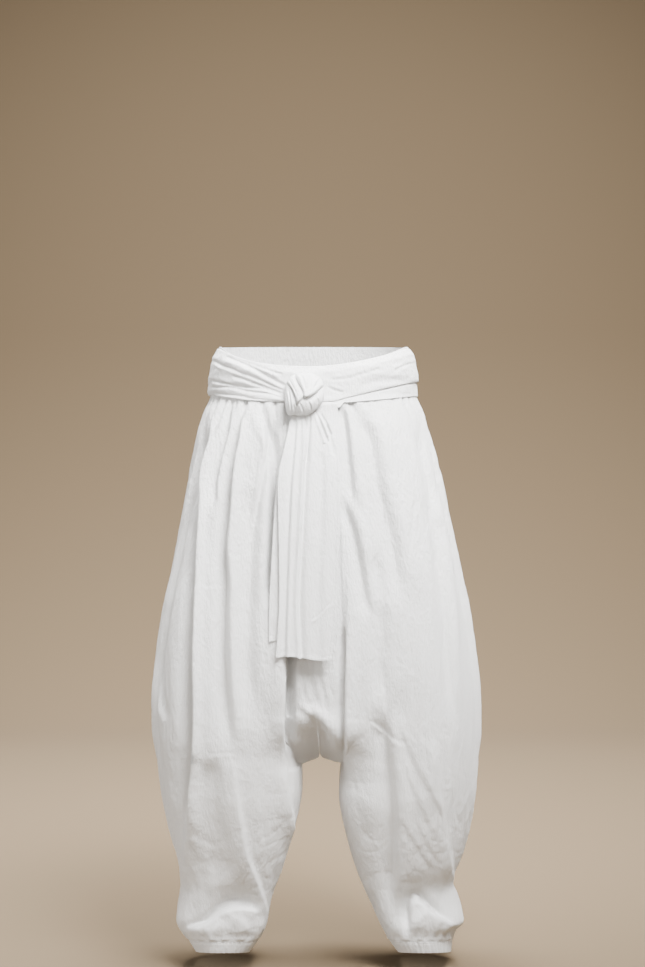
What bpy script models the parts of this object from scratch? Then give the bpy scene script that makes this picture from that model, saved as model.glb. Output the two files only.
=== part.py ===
"""Parachute trousers in crinkled white cotton, upright and hollow.

Frame: metres, +Z up, the front faces -Y, and +X is the side of the left leg.
The origin is the middle of the waist opening, at the height of the sash.
Every piece but the knot is a thin wall on a smooth base surface.
"""

from collections import namedtuple
from functools import lru_cache
from math import pi

import bmesh
import bpy
import numpy as np

# Driving sizes
CLOTH = 0.0020
SEAM_GAP = 0.0003
HALF_GAP = SEAM_GAP / 2
SASH_WALL = 0.0024
SASH_FOLD = 0.0034
TAIL_WALL = 0.0015
RIM_BACK = 0.046
RIM_SIDE = 0.040
RIM_FRONT = -0.003
SIDE_SEAM_Y = 0.004
INSEAM_Y = 0.002

# The eye that the fold paths are drawn from: they are given as they look from
# the front, on the plane that holds the two side seams.
EYE_X = 0.015
EYE_HEIGHT = -0.186
EYE_DISTANCE = 3.2

# Grid sizes
FINE_COLUMNS = 36
COARSE_COLUMNS = 18
RING_COLUMNS = 60
CUFF_COLUMNS = 24
CURVE_STEPS = 28

CLOTH_COLOUR = (0.80, 0.78, 0.74, 1.0)
SASH_COLOUR = (0.77, 0.75, 0.71, 1.0)
CLOTH_ROUGHNESS = 0.85

# Level sections of the two legs, from the rim to the hems. The outer and the
# inner-face columns are X, the crown is where across the leg it is deepest,
# front and back are the Y of the crown, and seam_in is 1 where the inner seam
# lies on the centre line and 0 where it lies on the leg's inner face.
Section = namedtuple(
    "Section",
    "height right_outer right_face left_face left_outer crown front back"
    " seam_in seam_height rise_front rise_back cuts",
)
SECTIONS = (
    Section(0.050, -0.1555, -0.030, 0.030, 0.1560, 0.02, -0.106, 0.112, 1, 0.050, -0.106, 0.112, 1),
    Section(0.000, -0.1665, -0.030, 0.030, 0.1670, 0.02, -0.115, 0.119, 1, 0.000, -0.115, 0.119, 1),
    Section(-0.020, -0.1690, -0.030, 0.030, 0.1690, 0.02, -0.117, 0.121, 1, -0.020, -0.117, 0.121, 1),
    Section(-0.042, -0.1705, -0.031, 0.031, 0.1705, 0.05, -0.119, 0.123, 1, -0.042, -0.119, 0.123, 1),
    Section(-0.062, -0.1800, -0.033, 0.033, 0.1805, 0.10, -0.127, 0.131, 1, -0.062, -0.127, 0.131, 2),
    Section(-0.110, -0.1935, -0.036, 0.036, 0.1940, 0.22, -0.139, 0.144, 1, -0.110, -0.138, 0.143, 2),
    Section(-0.210, -0.2125, -0.041, 0.041, 0.2188, 0.34, -0.151, 0.158, 1, -0.210, -0.148, 0.155, 2),
    Section(-0.320, -0.2320, -0.045, 0.045, 0.2432, 0.40, -0.158, 0.166, 1, -0.318, -0.149, 0.156, 2),
    Section(-0.410, -0.2515, -0.046, 0.047, 0.2610, 0.42, -0.160, 0.166, 1, -0.402, -0.151, 0.147, 2),
    Section(-0.500, -0.2635, -0.046, 0.048, 0.2735, 0.44, -0.158, 0.161, 1, -0.480, -0.149, 0.130, 2),
    Section(-0.560, -0.2670, -0.044, 0.049, 0.2768, 0.46, -0.153, 0.154, 1, -0.532, -0.143, 0.115, 1),
    Section(-0.605, -0.2650, -0.038, 0.050, 0.2762, 0.48, -0.148, 0.148, 1, -0.568, -0.128, 0.098, 2),
    Section(-0.637, -0.2605, -0.029, 0.051, 0.2745, 0.49, -0.143, 0.143, 1, -0.635, 0.002, 0.002, 3),
    Section(-0.670, -0.2560, -0.020, 0.049, 0.2728, 0.50, -0.137, 0.138, 0, -0.648, 0.002, 0.002, 1),
    Section(-0.710, -0.2510, -0.021, 0.043, 0.2695, 0.50, -0.129, 0.131, 0, -0.704, 0.002, 0.002, 2),
    Section(-0.770, -0.2375, -0.036, 0.057, 0.2580, 0.50, -0.112, 0.119, 0, -0.770, 0.002, 0.002, 1),
    Section(-0.810, -0.2255, -0.048, 0.068, 0.2460, 0.50, -0.098, 0.106, 0, -0.810, 0.002, 0.002, 1),
    Section(-0.845, -0.2205, -0.060, 0.080, 0.2315, 0.50, -0.087, 0.095, 0, -0.845, 0.002, 0.002, 1),
    Section(-0.875, -0.2245, -0.070, 0.094, 0.2415, 0.50, -0.083, 0.089, 0, -0.875, 0.002, 0.002, 2),
    Section(-0.912, -0.2280, -0.077, 0.110, 0.2500, 0.50, -0.085, 0.084, 0, -0.912, 0.002, 0.002, 1),
    Section(-0.932, -0.2205, -0.0825, 0.1185, 0.2375, 0.50, -0.082, 0.072, 0, -0.932, 0.002, 0.002, 1),
    Section(-0.947, -0.2070, -0.0925, 0.1270, 0.2305, 0.50, -0.078, 0.058, 0, -0.947, 0.002, 0.002, 1),
    Section(-0.966, -0.1950, -0.1070, 0.1410, 0.2285, 0.50, -0.074, 0.054, 0, -0.966, 0.002, 0.002, 0),
)
PANEL_TOP_ROW = 2
CROTCH_ROW = 12
RING_LEVELS = 8
FINE_ROWS_END = 6
HEM_SEAM_ROW = 21
HEM_ROW = 22
OUTER_POWER = 2.15
INNER_POWER = 2.7
FILLET_SHARE = 0.35

# How much higher each hem stands at its front than at its seams, and where that starts
HEM_LIFT = 0.0155
HEM_LIFT_ROW = 17

# How finely the heights of the rows above the knees are looked up
LOOKUP_LAST_ROW = 8
LOOKUP_STEPS = 321

# Folds of the leg panels. Each path is a run of (x, height) points as seen
# from the front. A lip is the soft ridge beside a trough, as a share of its
# depth, on the +X side where it is positive.
Fold = namedtuple("Fold", "name path width depth lip")
FRONT_FOLDS = (
    Fold("right_side_trough",
         ((-0.176, -0.090), (-0.190, -0.187), (-0.199, -0.343),
          (-0.206, -0.480), (-0.211, -0.680), (-0.218, -0.825)),
         0.015, -0.0162, -0.5),
    Fold("right_middle_trough",
         ((-0.129, -0.120), (-0.144, -0.220), (-0.151, -0.276),
          (-0.140, -0.347), (-0.147, -0.440), (-0.140, -0.637)),
         0.021, -0.0135, 0.4),
    Fold("right_tail_trough",
         ((-0.071, -0.052), (-0.064, -0.155), (-0.063, -0.230), (-0.071, -0.342)),
         0.015, -0.0081, -0.4),
    Fold("right_inner_edge",
         ((-0.047, -0.440), (-0.047, -0.560), (-0.044, -0.640), (-0.036, -0.710), (-0.031, -0.740)),
         0.015, 0.0095, 0.0),
    Fold("right_knee_ridge",
         ((-0.245, -0.370), (-0.259, -0.487), (-0.254, -0.557)),
         0.015, 0.0081, 0.0),
    Fold("right_shin_ridge",
         ((-0.116, -0.760), (-0.104, -0.819), (-0.090, -0.859), (-0.077, -0.900)),
         0.016, 0.0081, 0.0),
    Fold("left_tail_line",
         ((0.048, -0.058), (0.055, -0.103), (0.058, -0.150), (0.063, -0.220)),
         0.015, -0.0081, 0.4),
    Fold("left_middle_trough",
         ((0.070, -0.055), (0.096, -0.115), (0.107, -0.182), (0.127, -0.265), (0.134, -0.309)),
         0.018, -0.0162, 0.5),
    Fold("left_inner_line",
         ((0.050, -0.220), (0.067, -0.275), (0.083, -0.365)),
         0.016, -0.0095, 0.4),
    Fold("left_side_line",
         ((0.181, -0.108), (0.198, -0.197), (0.209, -0.275),
          (0.220, -0.380), (0.228, -0.487), (0.242, -0.592)),
         0.015, -0.0135, 0.5),
    Fold("left_knee_wrinkle",
         ((0.105, -0.590), (0.142, -0.617)),
         0.015, -0.0081, 0.5),
    Fold("left_thigh_wrinkle",
         ((0.144, -0.602), (0.171, -0.657), (0.197, -0.713), (0.211, -0.740)),
         0.016, -0.0121, 0.6),
    Fold("left_shin_wrinkle",
         ((0.150, -0.760), (0.171, -0.790), (0.189, -0.819)),
         0.015, -0.0081, 0.5),
    Fold("left_shin_valley",
         ((0.122, -0.680), (0.130, -0.760), (0.128, -0.838), (0.122, -0.898)),
         0.016, -0.0121, 0.4),
    Fold("left_shin_ridge",
         ((0.221, -0.819), (0.232, -0.845), (0.241, -0.875), (0.250, -0.905)),
         0.015, 0.0068, 0.0),
)
BACK_FOLDS = (
    Fold("right_back_side",
         ((-0.178, -0.090), (-0.192, -0.200), (-0.206, -0.390), (-0.212, -0.620)),
         0.015, -0.0135, -0.5),
    Fold("right_back_middle",
         ((-0.120, -0.080), (-0.138, -0.220), (-0.150, -0.360), (-0.140, -0.560), (-0.131, -0.720)),
         0.021, -0.0149, 0.4),
    Fold("right_back_seat",
         ((-0.045, -0.070), (-0.068, -0.190), (-0.082, -0.330), (-0.070, -0.470)),
         0.017, -0.0108, 0.4),
    Fold("right_back_calf",
         ((-0.170, -0.650), (-0.150, -0.730), (-0.120, -0.800)),
         0.015, -0.0108, 0.5),
    Fold("left_back_side",
         ((0.180, -0.100), (0.196, -0.210), (0.214, -0.400), (0.226, -0.600)),
         0.015, -0.0135, 0.5),
    Fold("left_back_middle",
         ((0.112, -0.080), (0.130, -0.200), (0.146, -0.350), (0.158, -0.540), (0.160, -0.700)),
         0.021, -0.0162, -0.4),
    Fold("left_back_seat",
         ((0.050, -0.070), (0.070, -0.180), (0.090, -0.320), (0.086, -0.450)),
         0.017, -0.0108, -0.4),
    Fold("left_back_calf",
         ((0.205, -0.640), (0.180, -0.720), (0.150, -0.800)),
         0.015, -0.0108, 0.5),
)

# How folds fade at their two ends, as shares of their length, and where a lip
# lies and how wide it is, in widths of its fold
FADE_IN = 0.18
FADE_OUT = 0.22
LIP_PLACE = 1.9
LIP_WIDTH = 1.2

# Folds fade where a panel turns sideways, at its seams, and at its two ends
FACING_SHARE = 0.45
INNER_SEAM_SHARE = 0.05
SIDE_SEAM_SHARE = 0.06
TOP_CALM_ROWS = 1.5
HEM_CALM_ROWS = 0.8

# Gathers where the panels meet the waist seam, uneven by these shares
GATHERS = 10
GATHER_SPAN = 0.26
GATHER_GROW = 0.050
GATHER_PLACE_CHANGE = 0.22
GATHER_DEPTH_CHANGE = 0.25
GATHER_LENGTH_CHANGE = 0.45
GATHER_DEPTH = 0.0060
GATHER_WIDTH = 0.0075
GATHER_LENGTH = 0.130
GATHER_START = -0.022

# The fold that breaks over each hem, and the small gathers above the cuff
BREAK_ROW = 19
BREAK_HEIGHT = -0.905
BREAK_HALF_WIDTH = 0.075
BREAK_WIDTH = 0.010
BREAK_DEPTH = -0.009
BREAK_ARCH = 0.020
BREAK_BACK_SHARE = 0.5
BREAK_TOP = -0.84
BREAK_FADE = 0.03
CUFF_GATHERS = 4
CUFF_GATHER_DEPTH = 0.0022
CUFF_GATHER_GROW = 0.010
CUFF_GATHER_END = 0.045
CUFF_PROUD = 0.0004

# The sash: its two edges, its folds, and where its upper layer's edge climbs
SASH_HALF_WIDTH = 0.163
SASH_LOW_FRONT = -0.0560
SASH_LOW_SIDE = -0.0405
SASH_LOW_BACK = -0.0440
SASH_DIP_POWER_RIGHT = 2.7
SASH_DIP_POWER_LEFT = 1.75
SASH_TOP_FRONT = 0.0025
SASH_TOP_SIDE = 0.0385
SASH_TOP_BACK = 0.0420
SASH_FOLDS = 6
SASH_FOLD_CHANGE = 0.30
SASH_SEAT = 0.0009
SASH_INNER_SHARES = (0.0, 0.25, 0.5, 0.75, 1.0)
UNDER_SASH_END = -0.064
UNDER_SASH_SLOPE = 0.6
UNDER_START = 0.14
UNDER_END = 1.86
UNDER_INSET = 0.04
UNDER_COLUMNS = 26
UNDER_CLIMB = 0.0215
UNDER_CLIMB_POWER = 0.8
UNDER_SHARES = (0.0, 0.35, 0.7, 1.0)
UNDER_RISE = 0.002
UNDER_SWELL = 0.0012

# The knot
KNOT_X = -0.0129
KNOT_HEIGHT = -0.0435
KNOT_HALF_WIDTH = 0.032
KNOT_HALF_HEIGHT = 0.0345
KNOT_POWER = 2.5
KNOT_RIM = 0.004
KNOT_DEPTH = 0.026
KNOT_DOME_POWER = 2.6
KNOT_RIM_RELIEF = 0.35
KNOT_BACK = -0.1263
KNOT_TAIL_ROOM = 0.0167
KNOT_TAIL_TOP = -0.047
KNOT_TAIL_RUN = 0.012
KNOT_COLUMNS = 32
KNOT_RINGS = 9
KNOT_BACK_SHARES = (1.0, 0.8, 0.6, 0.3)
KNOT_FOLDS = (
    Fold("band_left", ((-0.047, -0.021), (-0.038, -0.031), (-0.029, -0.048), (-0.025, -0.058)),
         0.0034, -0.0065, 0.4),
    Fold("band_right", ((-0.031, -0.015), (-0.025, -0.026), (-0.017, -0.045)), 0.0032, -0.0055, -0.4),
    Fold("petal_edge", ((-0.014, -0.050), (0.004, -0.043), (0.018, -0.029)), 0.0036, -0.0070, 0.0),
    Fold("lobe_fold", ((-0.036, -0.040), (-0.034, -0.060), (-0.032, -0.077)), 0.0032, -0.0045, 0.4),
)

# The two hanging tails: height, edges and the Y that the cloth hangs at
TailRow = namedtuple("TailRow", "height right_edge left_edge y")
FRONT_TAIL = (
    TailRow(-0.0605, -0.033, 0.038, -0.1400),
    TailRow(-0.0780, -0.034, 0.040, -0.1425),
    TailRow(-0.1280, -0.045, 0.042, -0.1580),
    TailRow(-0.1800, -0.055, 0.0435, -0.1680),
    TailRow(-0.2640, -0.054, 0.042, -0.1740),
    TailRow(-0.3700, -0.053, 0.039, -0.1750),
    TailRow(-0.4340, -0.0565, 0.0325, -0.1745),
    TailRow(-0.4620, -0.0585, 0.0290, -0.1740),
)
BACK_TAIL = (
    TailRow(-0.0605, -0.034, 0.020, -0.1379),
    TailRow(-0.0780, -0.036, 0.022, -0.1402),
    TailRow(-0.1280, -0.045, 0.022, -0.1500),
    TailRow(-0.1800, -0.057, 0.020, -0.1600),
    TailRow(-0.2840, -0.064, 0.016, -0.1662),
    TailRow(-0.3800, -0.069, 0.010, -0.1672),
    TailRow(-0.4370, -0.0695, 0.004, -0.1670),
)
FRONT_TAIL_FOLDS = (
    Fold("left_pleat", ((-0.028, -0.078), (-0.032, -0.140), (-0.036, -0.190), (-0.045, -0.460)),
         0.008, -0.0040, 0.5),
    Fold("middle_pleat", ((-0.008, -0.078), (-0.012, -0.180), (-0.022, -0.370), (-0.018, -0.450)),
         0.010, -0.0055, -0.5),
    Fold("right_pleat", ((0.004, -0.072), (0.016, -0.095), (0.024, -0.125)), 0.005, -0.0030, 0.4),
)
TAIL_FOLD_TOP = -0.078
TAIL_FOLD_GROW = 0.05
TAIL_COLUMNS = 16
BACK_TAIL_COLUMNS = 8
TAIL_CUTS = 2


def smooth_step(amount):
    amount = np.clip(amount, 0.0, 1.0)
    return amount * amount * (3 - 2 * amount)


def along_rows(values, row):
    """A smooth value between the rows of a table, at a row number with decimals."""
    values = np.asarray(values, dtype=float)
    last = len(values) - 1
    start = min(int(row), last - 1)
    part = row - start
    before = values[max(start - 1, 0)]
    here = values[start]
    after = values[start + 1]
    beyond = values[min(start + 2, last)]
    straight = after - before
    bend = 2 * before - 5 * here + 4 * after - beyond
    twist = 3 * here - before - 3 * after + beyond
    return here + 0.5 * part * (straight + part * (bend + part * twist))


def section_value(name, row):
    return along_rows([getattr(section, name) for section in SECTIONS], row)


def row_at_height(height):
    """The section row whose height this is, above the knees."""
    rows = np.linspace(0, LOOKUP_LAST_ROW, LOOKUP_STEPS)
    heights = np.array([section_value("height", row) for row in rows])
    return np.interp(-np.asarray(height), -heights, rows)


@lru_cache(maxsize=None)
def section_line(side, face, row):
    """One section of a panel as a fine line, from its inner seam to its side seam."""
    outer_x = section_value(side + "_outer", row)
    face_x = section_value(side + "_face", row)
    crown_x = face_x + (outer_x - face_x) * section_value("crown", row)
    crown_y = section_value(face, row)
    seam_in = np.clip(section_value("seam_in", row), 0.0, 1.0)
    seam_x = face_x * (1 - seam_in) + section_value("right_face", row) * seam_in / 2
    seam_x = seam_x + section_value("left_face", row) * seam_in / 2
    seam_x += HALF_GAP if side == "left" else -HALF_GAP
    rise_y = section_value("rise_" + face, row)
    away = -HALF_GAP if face == "front" else HALF_GAP
    seam_y = away + (min(rise_y, INSEAM_Y) if face == "front" else max(rise_y, INSEAM_Y))
    side_y = away + SIDE_SEAM_Y
    fillet_y = seam_y + (crown_y - seam_y) * FILLET_SHARE

    turn = np.linspace(0, pi / 2, CURVE_STEPS)
    round_share = smooth_step((CROTCH_ROW - row) / 2)
    straight = turn * 2 / pi
    fillet = np.column_stack((
        seam_x + (face_x - seam_x) * (straight + (np.sin(turn) - straight) * round_share),
        seam_y + (fillet_y - seam_y) * (straight + (1 - np.cos(turn) - straight) * round_share),
    ))
    inner = np.column_stack((
        crown_x + (face_x - crown_x) * np.cos(turn) ** (2 / INNER_POWER),
        fillet_y + (crown_y - fillet_y) * np.sin(turn) ** (2 / INNER_POWER),
    ))
    outer = np.column_stack((
        crown_x + (outer_x - crown_x) * np.sin(turn) ** (2 / OUTER_POWER),
        side_y + (crown_y - side_y) * np.cos(turn) ** (2 / OUTER_POWER),
    ))
    flat = np.vstack((fillet, inner[1:], outer[1:]))
    steps = np.linalg.norm(np.diff(flat, axis=0), axis=1)
    length = np.concatenate(([0.0], np.cumsum(steps)))
    crown_at = length[2 * CURVE_STEPS - 2]
    outer_height = section_value("height", row)
    seam_height = section_value("seam_height", row)
    rise = smooth_step(1 - length / crown_at)
    height = outer_height + (seam_height - outer_height) * rise
    if face == "front":
        forward = np.clip((INSEAM_Y - flat[:, 1]) / (INSEAM_Y - crown_y), 0, 1)
        lift_share = smooth_step((row - HEM_LIFT_ROW) / (HEM_SEAM_ROW - HEM_LIFT_ROW))
        height = height + HEM_LIFT * forward * lift_share
    return length, np.column_stack((flat, height))


def section_points(side, face, row, fractions):
    """Points at fractions of a section's length."""
    length, line = section_line(side, face, row)
    wanted = np.asarray(fractions) * length[-1]
    return np.column_stack([np.interp(wanted, length, line[:, axis]) for axis in range(3)])


def panel_normals(side, face, row, fractions):
    """Outward directions of one panel's smooth base surface along one section."""
    step = 0.02
    reach = 0.012
    above = section_points(side, face, max(row - step, 0.0), fractions)
    below = section_points(side, face, min(row + step, len(SECTIONS) - 1.0), fractions)
    inward = section_points(side, face, row, np.clip(fractions - reach, 0, 1))
    outward = section_points(side, face, row, np.clip(fractions + reach, 0, 1))
    normal = np.cross(below - above, outward - inward)
    if (side == "left") != (face == "front"):
        normal = -normal
    return normal / np.linalg.norm(normal, axis=1)[:, None]


def base_normals(side, face, row, fractions):
    """Outward directions along one section, shared with the next panel at each seam."""
    normals = panel_normals(side, face, row, fractions)
    other_side = "right" if side == "left" else "left"
    other_face = "back" if face == "front" else "front"
    beside = [(side, other_face)] if row >= CROTCH_ROW else []
    beside += [(other_side, face)] if row <= CROTCH_ROW else []
    beside += [(other_side, other_face)] if row == CROTCH_ROW else []
    ends = np.array([0.0, 1.0])
    inner_end = normals[0] + sum(panel_normals(*panel, row, ends)[0] for panel in beside)
    outer_end = normals[-1] + panel_normals(side, other_face, row, ends)[1]
    if np.isclose(fractions[0], 0.0):
        normals[0] = inner_end / np.linalg.norm(inner_end)
    if np.isclose(fractions[-1], 1.0):
        normals[-1] = outer_end / np.linalg.norm(outer_end)
    return normals


def seen_from_front(points):
    """Where points appear on the plane of the side seams, as (x, height)."""
    scale = EYE_DISTANCE / (EYE_DISTANCE + points[:, 1])
    return np.column_stack((
        EYE_X + (points[:, 0] - EYE_X) * scale,
        EYE_HEIGHT + (points[:, 2] - EYE_HEIGHT) * scale,
    ))


def fold_height(places, fold):
    """How far one fold moves the cloth out at each (x, height) place."""
    path = np.array(fold.path)
    leg = np.linalg.norm(np.diff(path, axis=0), axis=1)
    run = np.concatenate(([0.0], np.cumsum(leg))) / leg.sum()
    nearest = np.full(len(places), 1e9)
    across = np.zeros(len(places))
    travelled = np.zeros(len(places))
    for start, end, run_start, run_end in zip(path[:-1], path[1:], run[:-1], run[1:]):
        line = end - start
        share = np.clip((places - start) @ line / (line @ line), 0.0, 1.0)
        offset = places - (start + share[:, None] * line)
        distance = np.linalg.norm(offset, axis=1)
        closer = distance < nearest
        nearest = np.where(closer, distance, nearest)
        signed = np.where(offset[:, 0] > 0, distance, -distance)
        across = np.where(closer, signed, across)
        travelled = np.where(closer, run_start + share * (run_end - run_start), travelled)
    fade = smooth_step(travelled / FADE_IN) * smooth_step((1 - travelled) / FADE_OUT)
    trough = np.exp(-(across / fold.width) ** 2)
    lip_at = LIP_PLACE * fold.width * np.sign(fold.lip)
    lip = abs(fold.lip) * np.exp(-((across - lip_at) / (LIP_WIDTH * fold.width)) ** 2)
    return fold.depth * (trough - lip) * fade


def gather_height(side, face, fractions, points):
    """Small folds that run down from the waist seam, uneven in depth and length."""
    phase = 1.3 * (side == "left") + 2.1 * (face == "back")
    total = np.zeros(len(fractions))
    drop = GATHER_START - points[:, 2]
    grow = smooth_step(drop / GATHER_GROW)
    for number in range(GATHERS):
        place = (number + 0.5 + GATHER_PLACE_CHANGE * np.sin(2.4 * number + phase)) / GATHERS
        depth = GATHER_DEPTH * (1 + GATHER_DEPTH_CHANGE * (np.sin(1.7 * number + 2 * phase) - 1))
        reach = GATHER_LENGTH * (1 + GATHER_LENGTH_CHANGE * np.sin(3.1 * number + phase))
        across = (fractions - place) * GATHER_SPAN / GATHER_WIDTH
        fade = 1 - smooth_step(drop / reach)
        total -= depth * np.exp(-across ** 2) * grow * fade
    return total


def break_height(side, face, points):
    """The fold that breaks over the hem, arched across the leg."""
    inner_x = section_value(side + "_face", BREAK_ROW)
    outer_x = section_value(side + "_outer", BREAK_ROW)
    centre = (inner_x + outer_x) / 2
    arch = BREAK_ARCH * np.clip(1 - ((points[:, 0] - centre) / BREAK_HALF_WIDTH) ** 2, -1, 1)
    share = BREAK_BACK_SHARE if face == "back" else 1.0
    above = points[:, 2] - (BREAK_HEIGHT + share * arch)
    fade = smooth_step((BREAK_TOP - points[:, 2]) / BREAK_FADE)
    return BREAK_DEPTH * share * np.exp(-(above / BREAK_WIDTH) ** 2) * fade


def cuff_gather_height(fractions, points):
    """Small folds that run up from the cuff seam."""
    rise = points[:, 2] - section_value("height", HEM_SEAM_ROW)
    fade = smooth_step(rise / CUFF_GATHER_GROW) * (1 - smooth_step(rise / CUFF_GATHER_END))
    return CUFF_GATHER_DEPTH * np.sin(2 * pi * fractions * CUFF_GATHERS) * fade


def panel_row(side, face, row, columns):
    """Outer and inner points of one row of a leg panel."""
    fractions = np.linspace(0, 1, columns + 1)
    points = section_points(side, face, row, fractions)
    normals = base_normals(side, face, row, fractions)
    folds = FRONT_FOLDS if face == "front" else BACK_FOLDS
    places = seen_from_front(points)
    facing = smooth_step(np.abs(normals[:, 1]) / FACING_SHARE)
    seam_calm = smooth_step(fractions / INNER_SEAM_SHARE)
    seam_calm = seam_calm * smooth_step((1 - fractions) / SIDE_SEAM_SHARE)
    height = np.zeros(len(points))
    for fold in folds:
        if fold.name.startswith(side):
            height += fold_height(places, fold) * facing
    height += gather_height(side, face, fractions, points)
    height += break_height(side, face, points)
    height += cuff_gather_height(fractions, points)
    top_calm = smooth_step((row - PANEL_TOP_ROW) / TOP_CALM_ROWS)
    hem_calm = smooth_step((HEM_SEAM_ROW - row) / HEM_CALM_ROWS)
    height *= seam_calm * top_calm * hem_calm
    room = UNDER_SASH_SLOPE * np.maximum(UNDER_SASH_END - points[:, 2], 0.0)
    height = np.minimum(height, room)
    outer = points + normals * height[:, None]
    return outer, outer - normals * CLOTH


def panel_rows():
    """Row numbers of a panel's grid, from the waist seam to the cuff seam."""
    rows = []
    for number in range(PANEL_TOP_ROW, HEM_SEAM_ROW):
        cuts = SECTIONS[number].cuts
        rows += [number + cut / cuts for cut in range(cuts)]
    return rows + [float(HEM_SEAM_ROW)]


def strip_faces(upper, lower):
    """Triangles between two rows of vertex numbers, the lower with as many or half."""
    faces = []
    if len(upper) == len(lower):
        for column in range(len(upper) - 1):
            faces.append((upper[column], lower[column], lower[column + 1]))
            faces.append((upper[column], lower[column + 1], upper[column + 1]))
        return faces
    for column in range(len(lower) - 1):
        left, middle, right = upper[2 * column:2 * column + 3]
        faces.append((left, lower[column], middle))
        faces.append((middle, lower[column], lower[column + 1]))
        faces.append((middle, lower[column + 1], right))
    return faces


def add_object(name, points, faces, colour):
    mesh = bpy.data.meshes.new(name)
    mesh.from_pydata([tuple(point) for point in points], [], faces)
    body = bmesh.new()
    body.from_mesh(mesh)
    bmesh.ops.recalc_face_normals(body, faces=body.faces)
    if body.calc_volume(signed=True) < 0:
        bmesh.ops.reverse_faces(body, faces=body.faces)
    body.to_mesh(mesh)
    body.free()
    mesh.shade_smooth()
    mesh.set_sharp_from_angle(angle=0.9)
    thing = bpy.data.objects.new(name, mesh)
    bpy.context.scene.collection.objects.link(thing)
    material = bpy.data.materials.new(name + "_cloth")
    material.use_nodes = True
    shader = material.node_tree.nodes["Principled BSDF"]
    shader.inputs["Base Color"].default_value = colour
    shader.inputs["Roughness"].default_value = CLOTH_ROUGHNESS
    shader.inputs["Metallic"].default_value = 0.0
    mesh.materials.append(material)
    return thing


def wall_object(name, outer_rows, inner_rows, colour, closed=False):
    """A thin solid between two grids of rows, closed round in a ring where asked."""
    points = []
    numbers = {"outer": [], "inner": []}
    for skin, rows in (("outer", outer_rows), ("inner", inner_rows)):
        for row in rows:
            first = len(points)
            points.extend(row)
            row_numbers = list(range(first, len(points)))
            if closed:
                row_numbers.append(first)
            numbers[skin].append(row_numbers)
    faces = []
    for upper, lower in zip(numbers["outer"][:-1], numbers["outer"][1:]):
        faces += strip_faces(upper, lower)
    for upper, lower in zip(numbers["inner"][:-1], numbers["inner"][1:]):
        faces += [face[::-1] for face in strip_faces(upper, lower)]
    faces += strip_faces(numbers["inner"][0], numbers["outer"][0])
    faces += strip_faces(numbers["outer"][-1], numbers["inner"][-1])
    if not closed:
        outer_start = [row[0] for row in numbers["outer"]]
        outer_end = [row[-1] for row in numbers["outer"]]
        inner_start = [row[0] for row in numbers["inner"]]
        inner_end = [row[-1] for row in numbers["inner"]]
        faces += strip_faces(outer_start, inner_start)
        faces += strip_faces(inner_end, outer_end)
    return add_object(name, points, faces, colour)


def leg_panel(side, face):
    outer_rows = []
    inner_rows = []
    for row in panel_rows():
        columns = FINE_COLUMNS if row < FINE_ROWS_END else COARSE_COLUMNS
        outer, inner = panel_row(side, face, row, columns)
        outer_rows.append(outer)
        inner_rows.append(inner)
    return wall_object(face + "_leg_" + side, outer_rows, inner_rows, CLOTH_COLOUR)


def ring_point(turn, height, reach):
    """A point round the waist: turn 0 and 4 are the front, 1 the left side, 2 the back."""
    turn = turn % 4
    quarter = int(turn)
    part = turn - quarter
    side = "left" if quarter < 2 else "right"
    face = "back" if quarter in (1, 2) else "front"
    fraction = part if quarter in (0, 2) else 1 - part
    level = float(row_at_height(height)) * RING_LEVELS
    low = int(level)
    part = level - low
    at = np.array([fraction])
    point = np.zeros(3)
    normal = np.zeros(3)
    for row, weight in ((low / RING_LEVELS, 1 - part), ((low + 1) / RING_LEVELS, part)):
        point += weight * section_points(side, face, row, at)[0]
        normal += weight * base_normals(side, face, row, at)[0]
    normal[2] = 0.0
    normal /= np.linalg.norm(normal)
    return point + normal * reach


def front_share(x):
    """1 at the centre front and 0 at the sides, along the sash's own dip."""
    power = SASH_DIP_POWER_LEFT if x > 0 else SASH_DIP_POWER_RIGHT
    return 1 - min(abs(x) / SASH_HALF_WIDTH, 1.0) ** power


def edge_height(turn, front, side, back):
    """An edge that runs round the waist and dips at the front."""
    x = ring_point(turn, 0.0, 0.0)[0]
    if 1 <= turn % 4 <= 3:
        return side + (back - side) * (1 - min(abs(x) / SASH_HALF_WIDTH, 1.0) ** 2)
    return side + (front - side) * front_share(x)


def waistband():
    outer_rows = []
    inner_rows = []
    low = section_value("height", PANEL_TOP_ROW) + SEAM_GAP
    turns = np.arange(RING_COLUMNS) * 4 / RING_COLUMNS
    for share in (0.0, 1.0):
        outer = []
        inner = []
        for turn in turns:
            top = edge_height(turn, RIM_FRONT, RIM_SIDE, RIM_BACK)
            height = top + (low - top) * share
            outer.append(ring_point(turn, height, 0.0))
            inner.append(ring_point(turn, height, -CLOTH))
        outer_rows.append(outer)
        inner_rows.append(inner)
    return wall_object("waistband", outer_rows, inner_rows, CLOTH_COLOUR, closed=True)


def sash_low(turn):
    return edge_height(turn, SASH_LOW_FRONT, SASH_LOW_SIDE, SASH_LOW_BACK)


def sash_upper_low(turn):
    """The lower edge of the upper layer, which climbs on the left side."""
    part = turn % 4
    climb = np.sin(pi * np.clip((part - UNDER_START) / (UNDER_END - UNDER_START), 0, 1))
    return sash_low(turn) + UNDER_CLIMB * climb ** UNDER_CLIMB_POWER


def sash_ridge(turn, share):
    """How far the sash's lengthwise folds stand out, at a share of its height."""
    wave = np.sin(pi * share * SASH_FOLDS) ** 2
    change = np.sin(2.3 * share * SASH_FOLDS + 1.1 * np.sin(pi * turn / 2))
    return SASH_FOLD * wave * (1 + SASH_FOLD_CHANGE * (change - 1))


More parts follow.
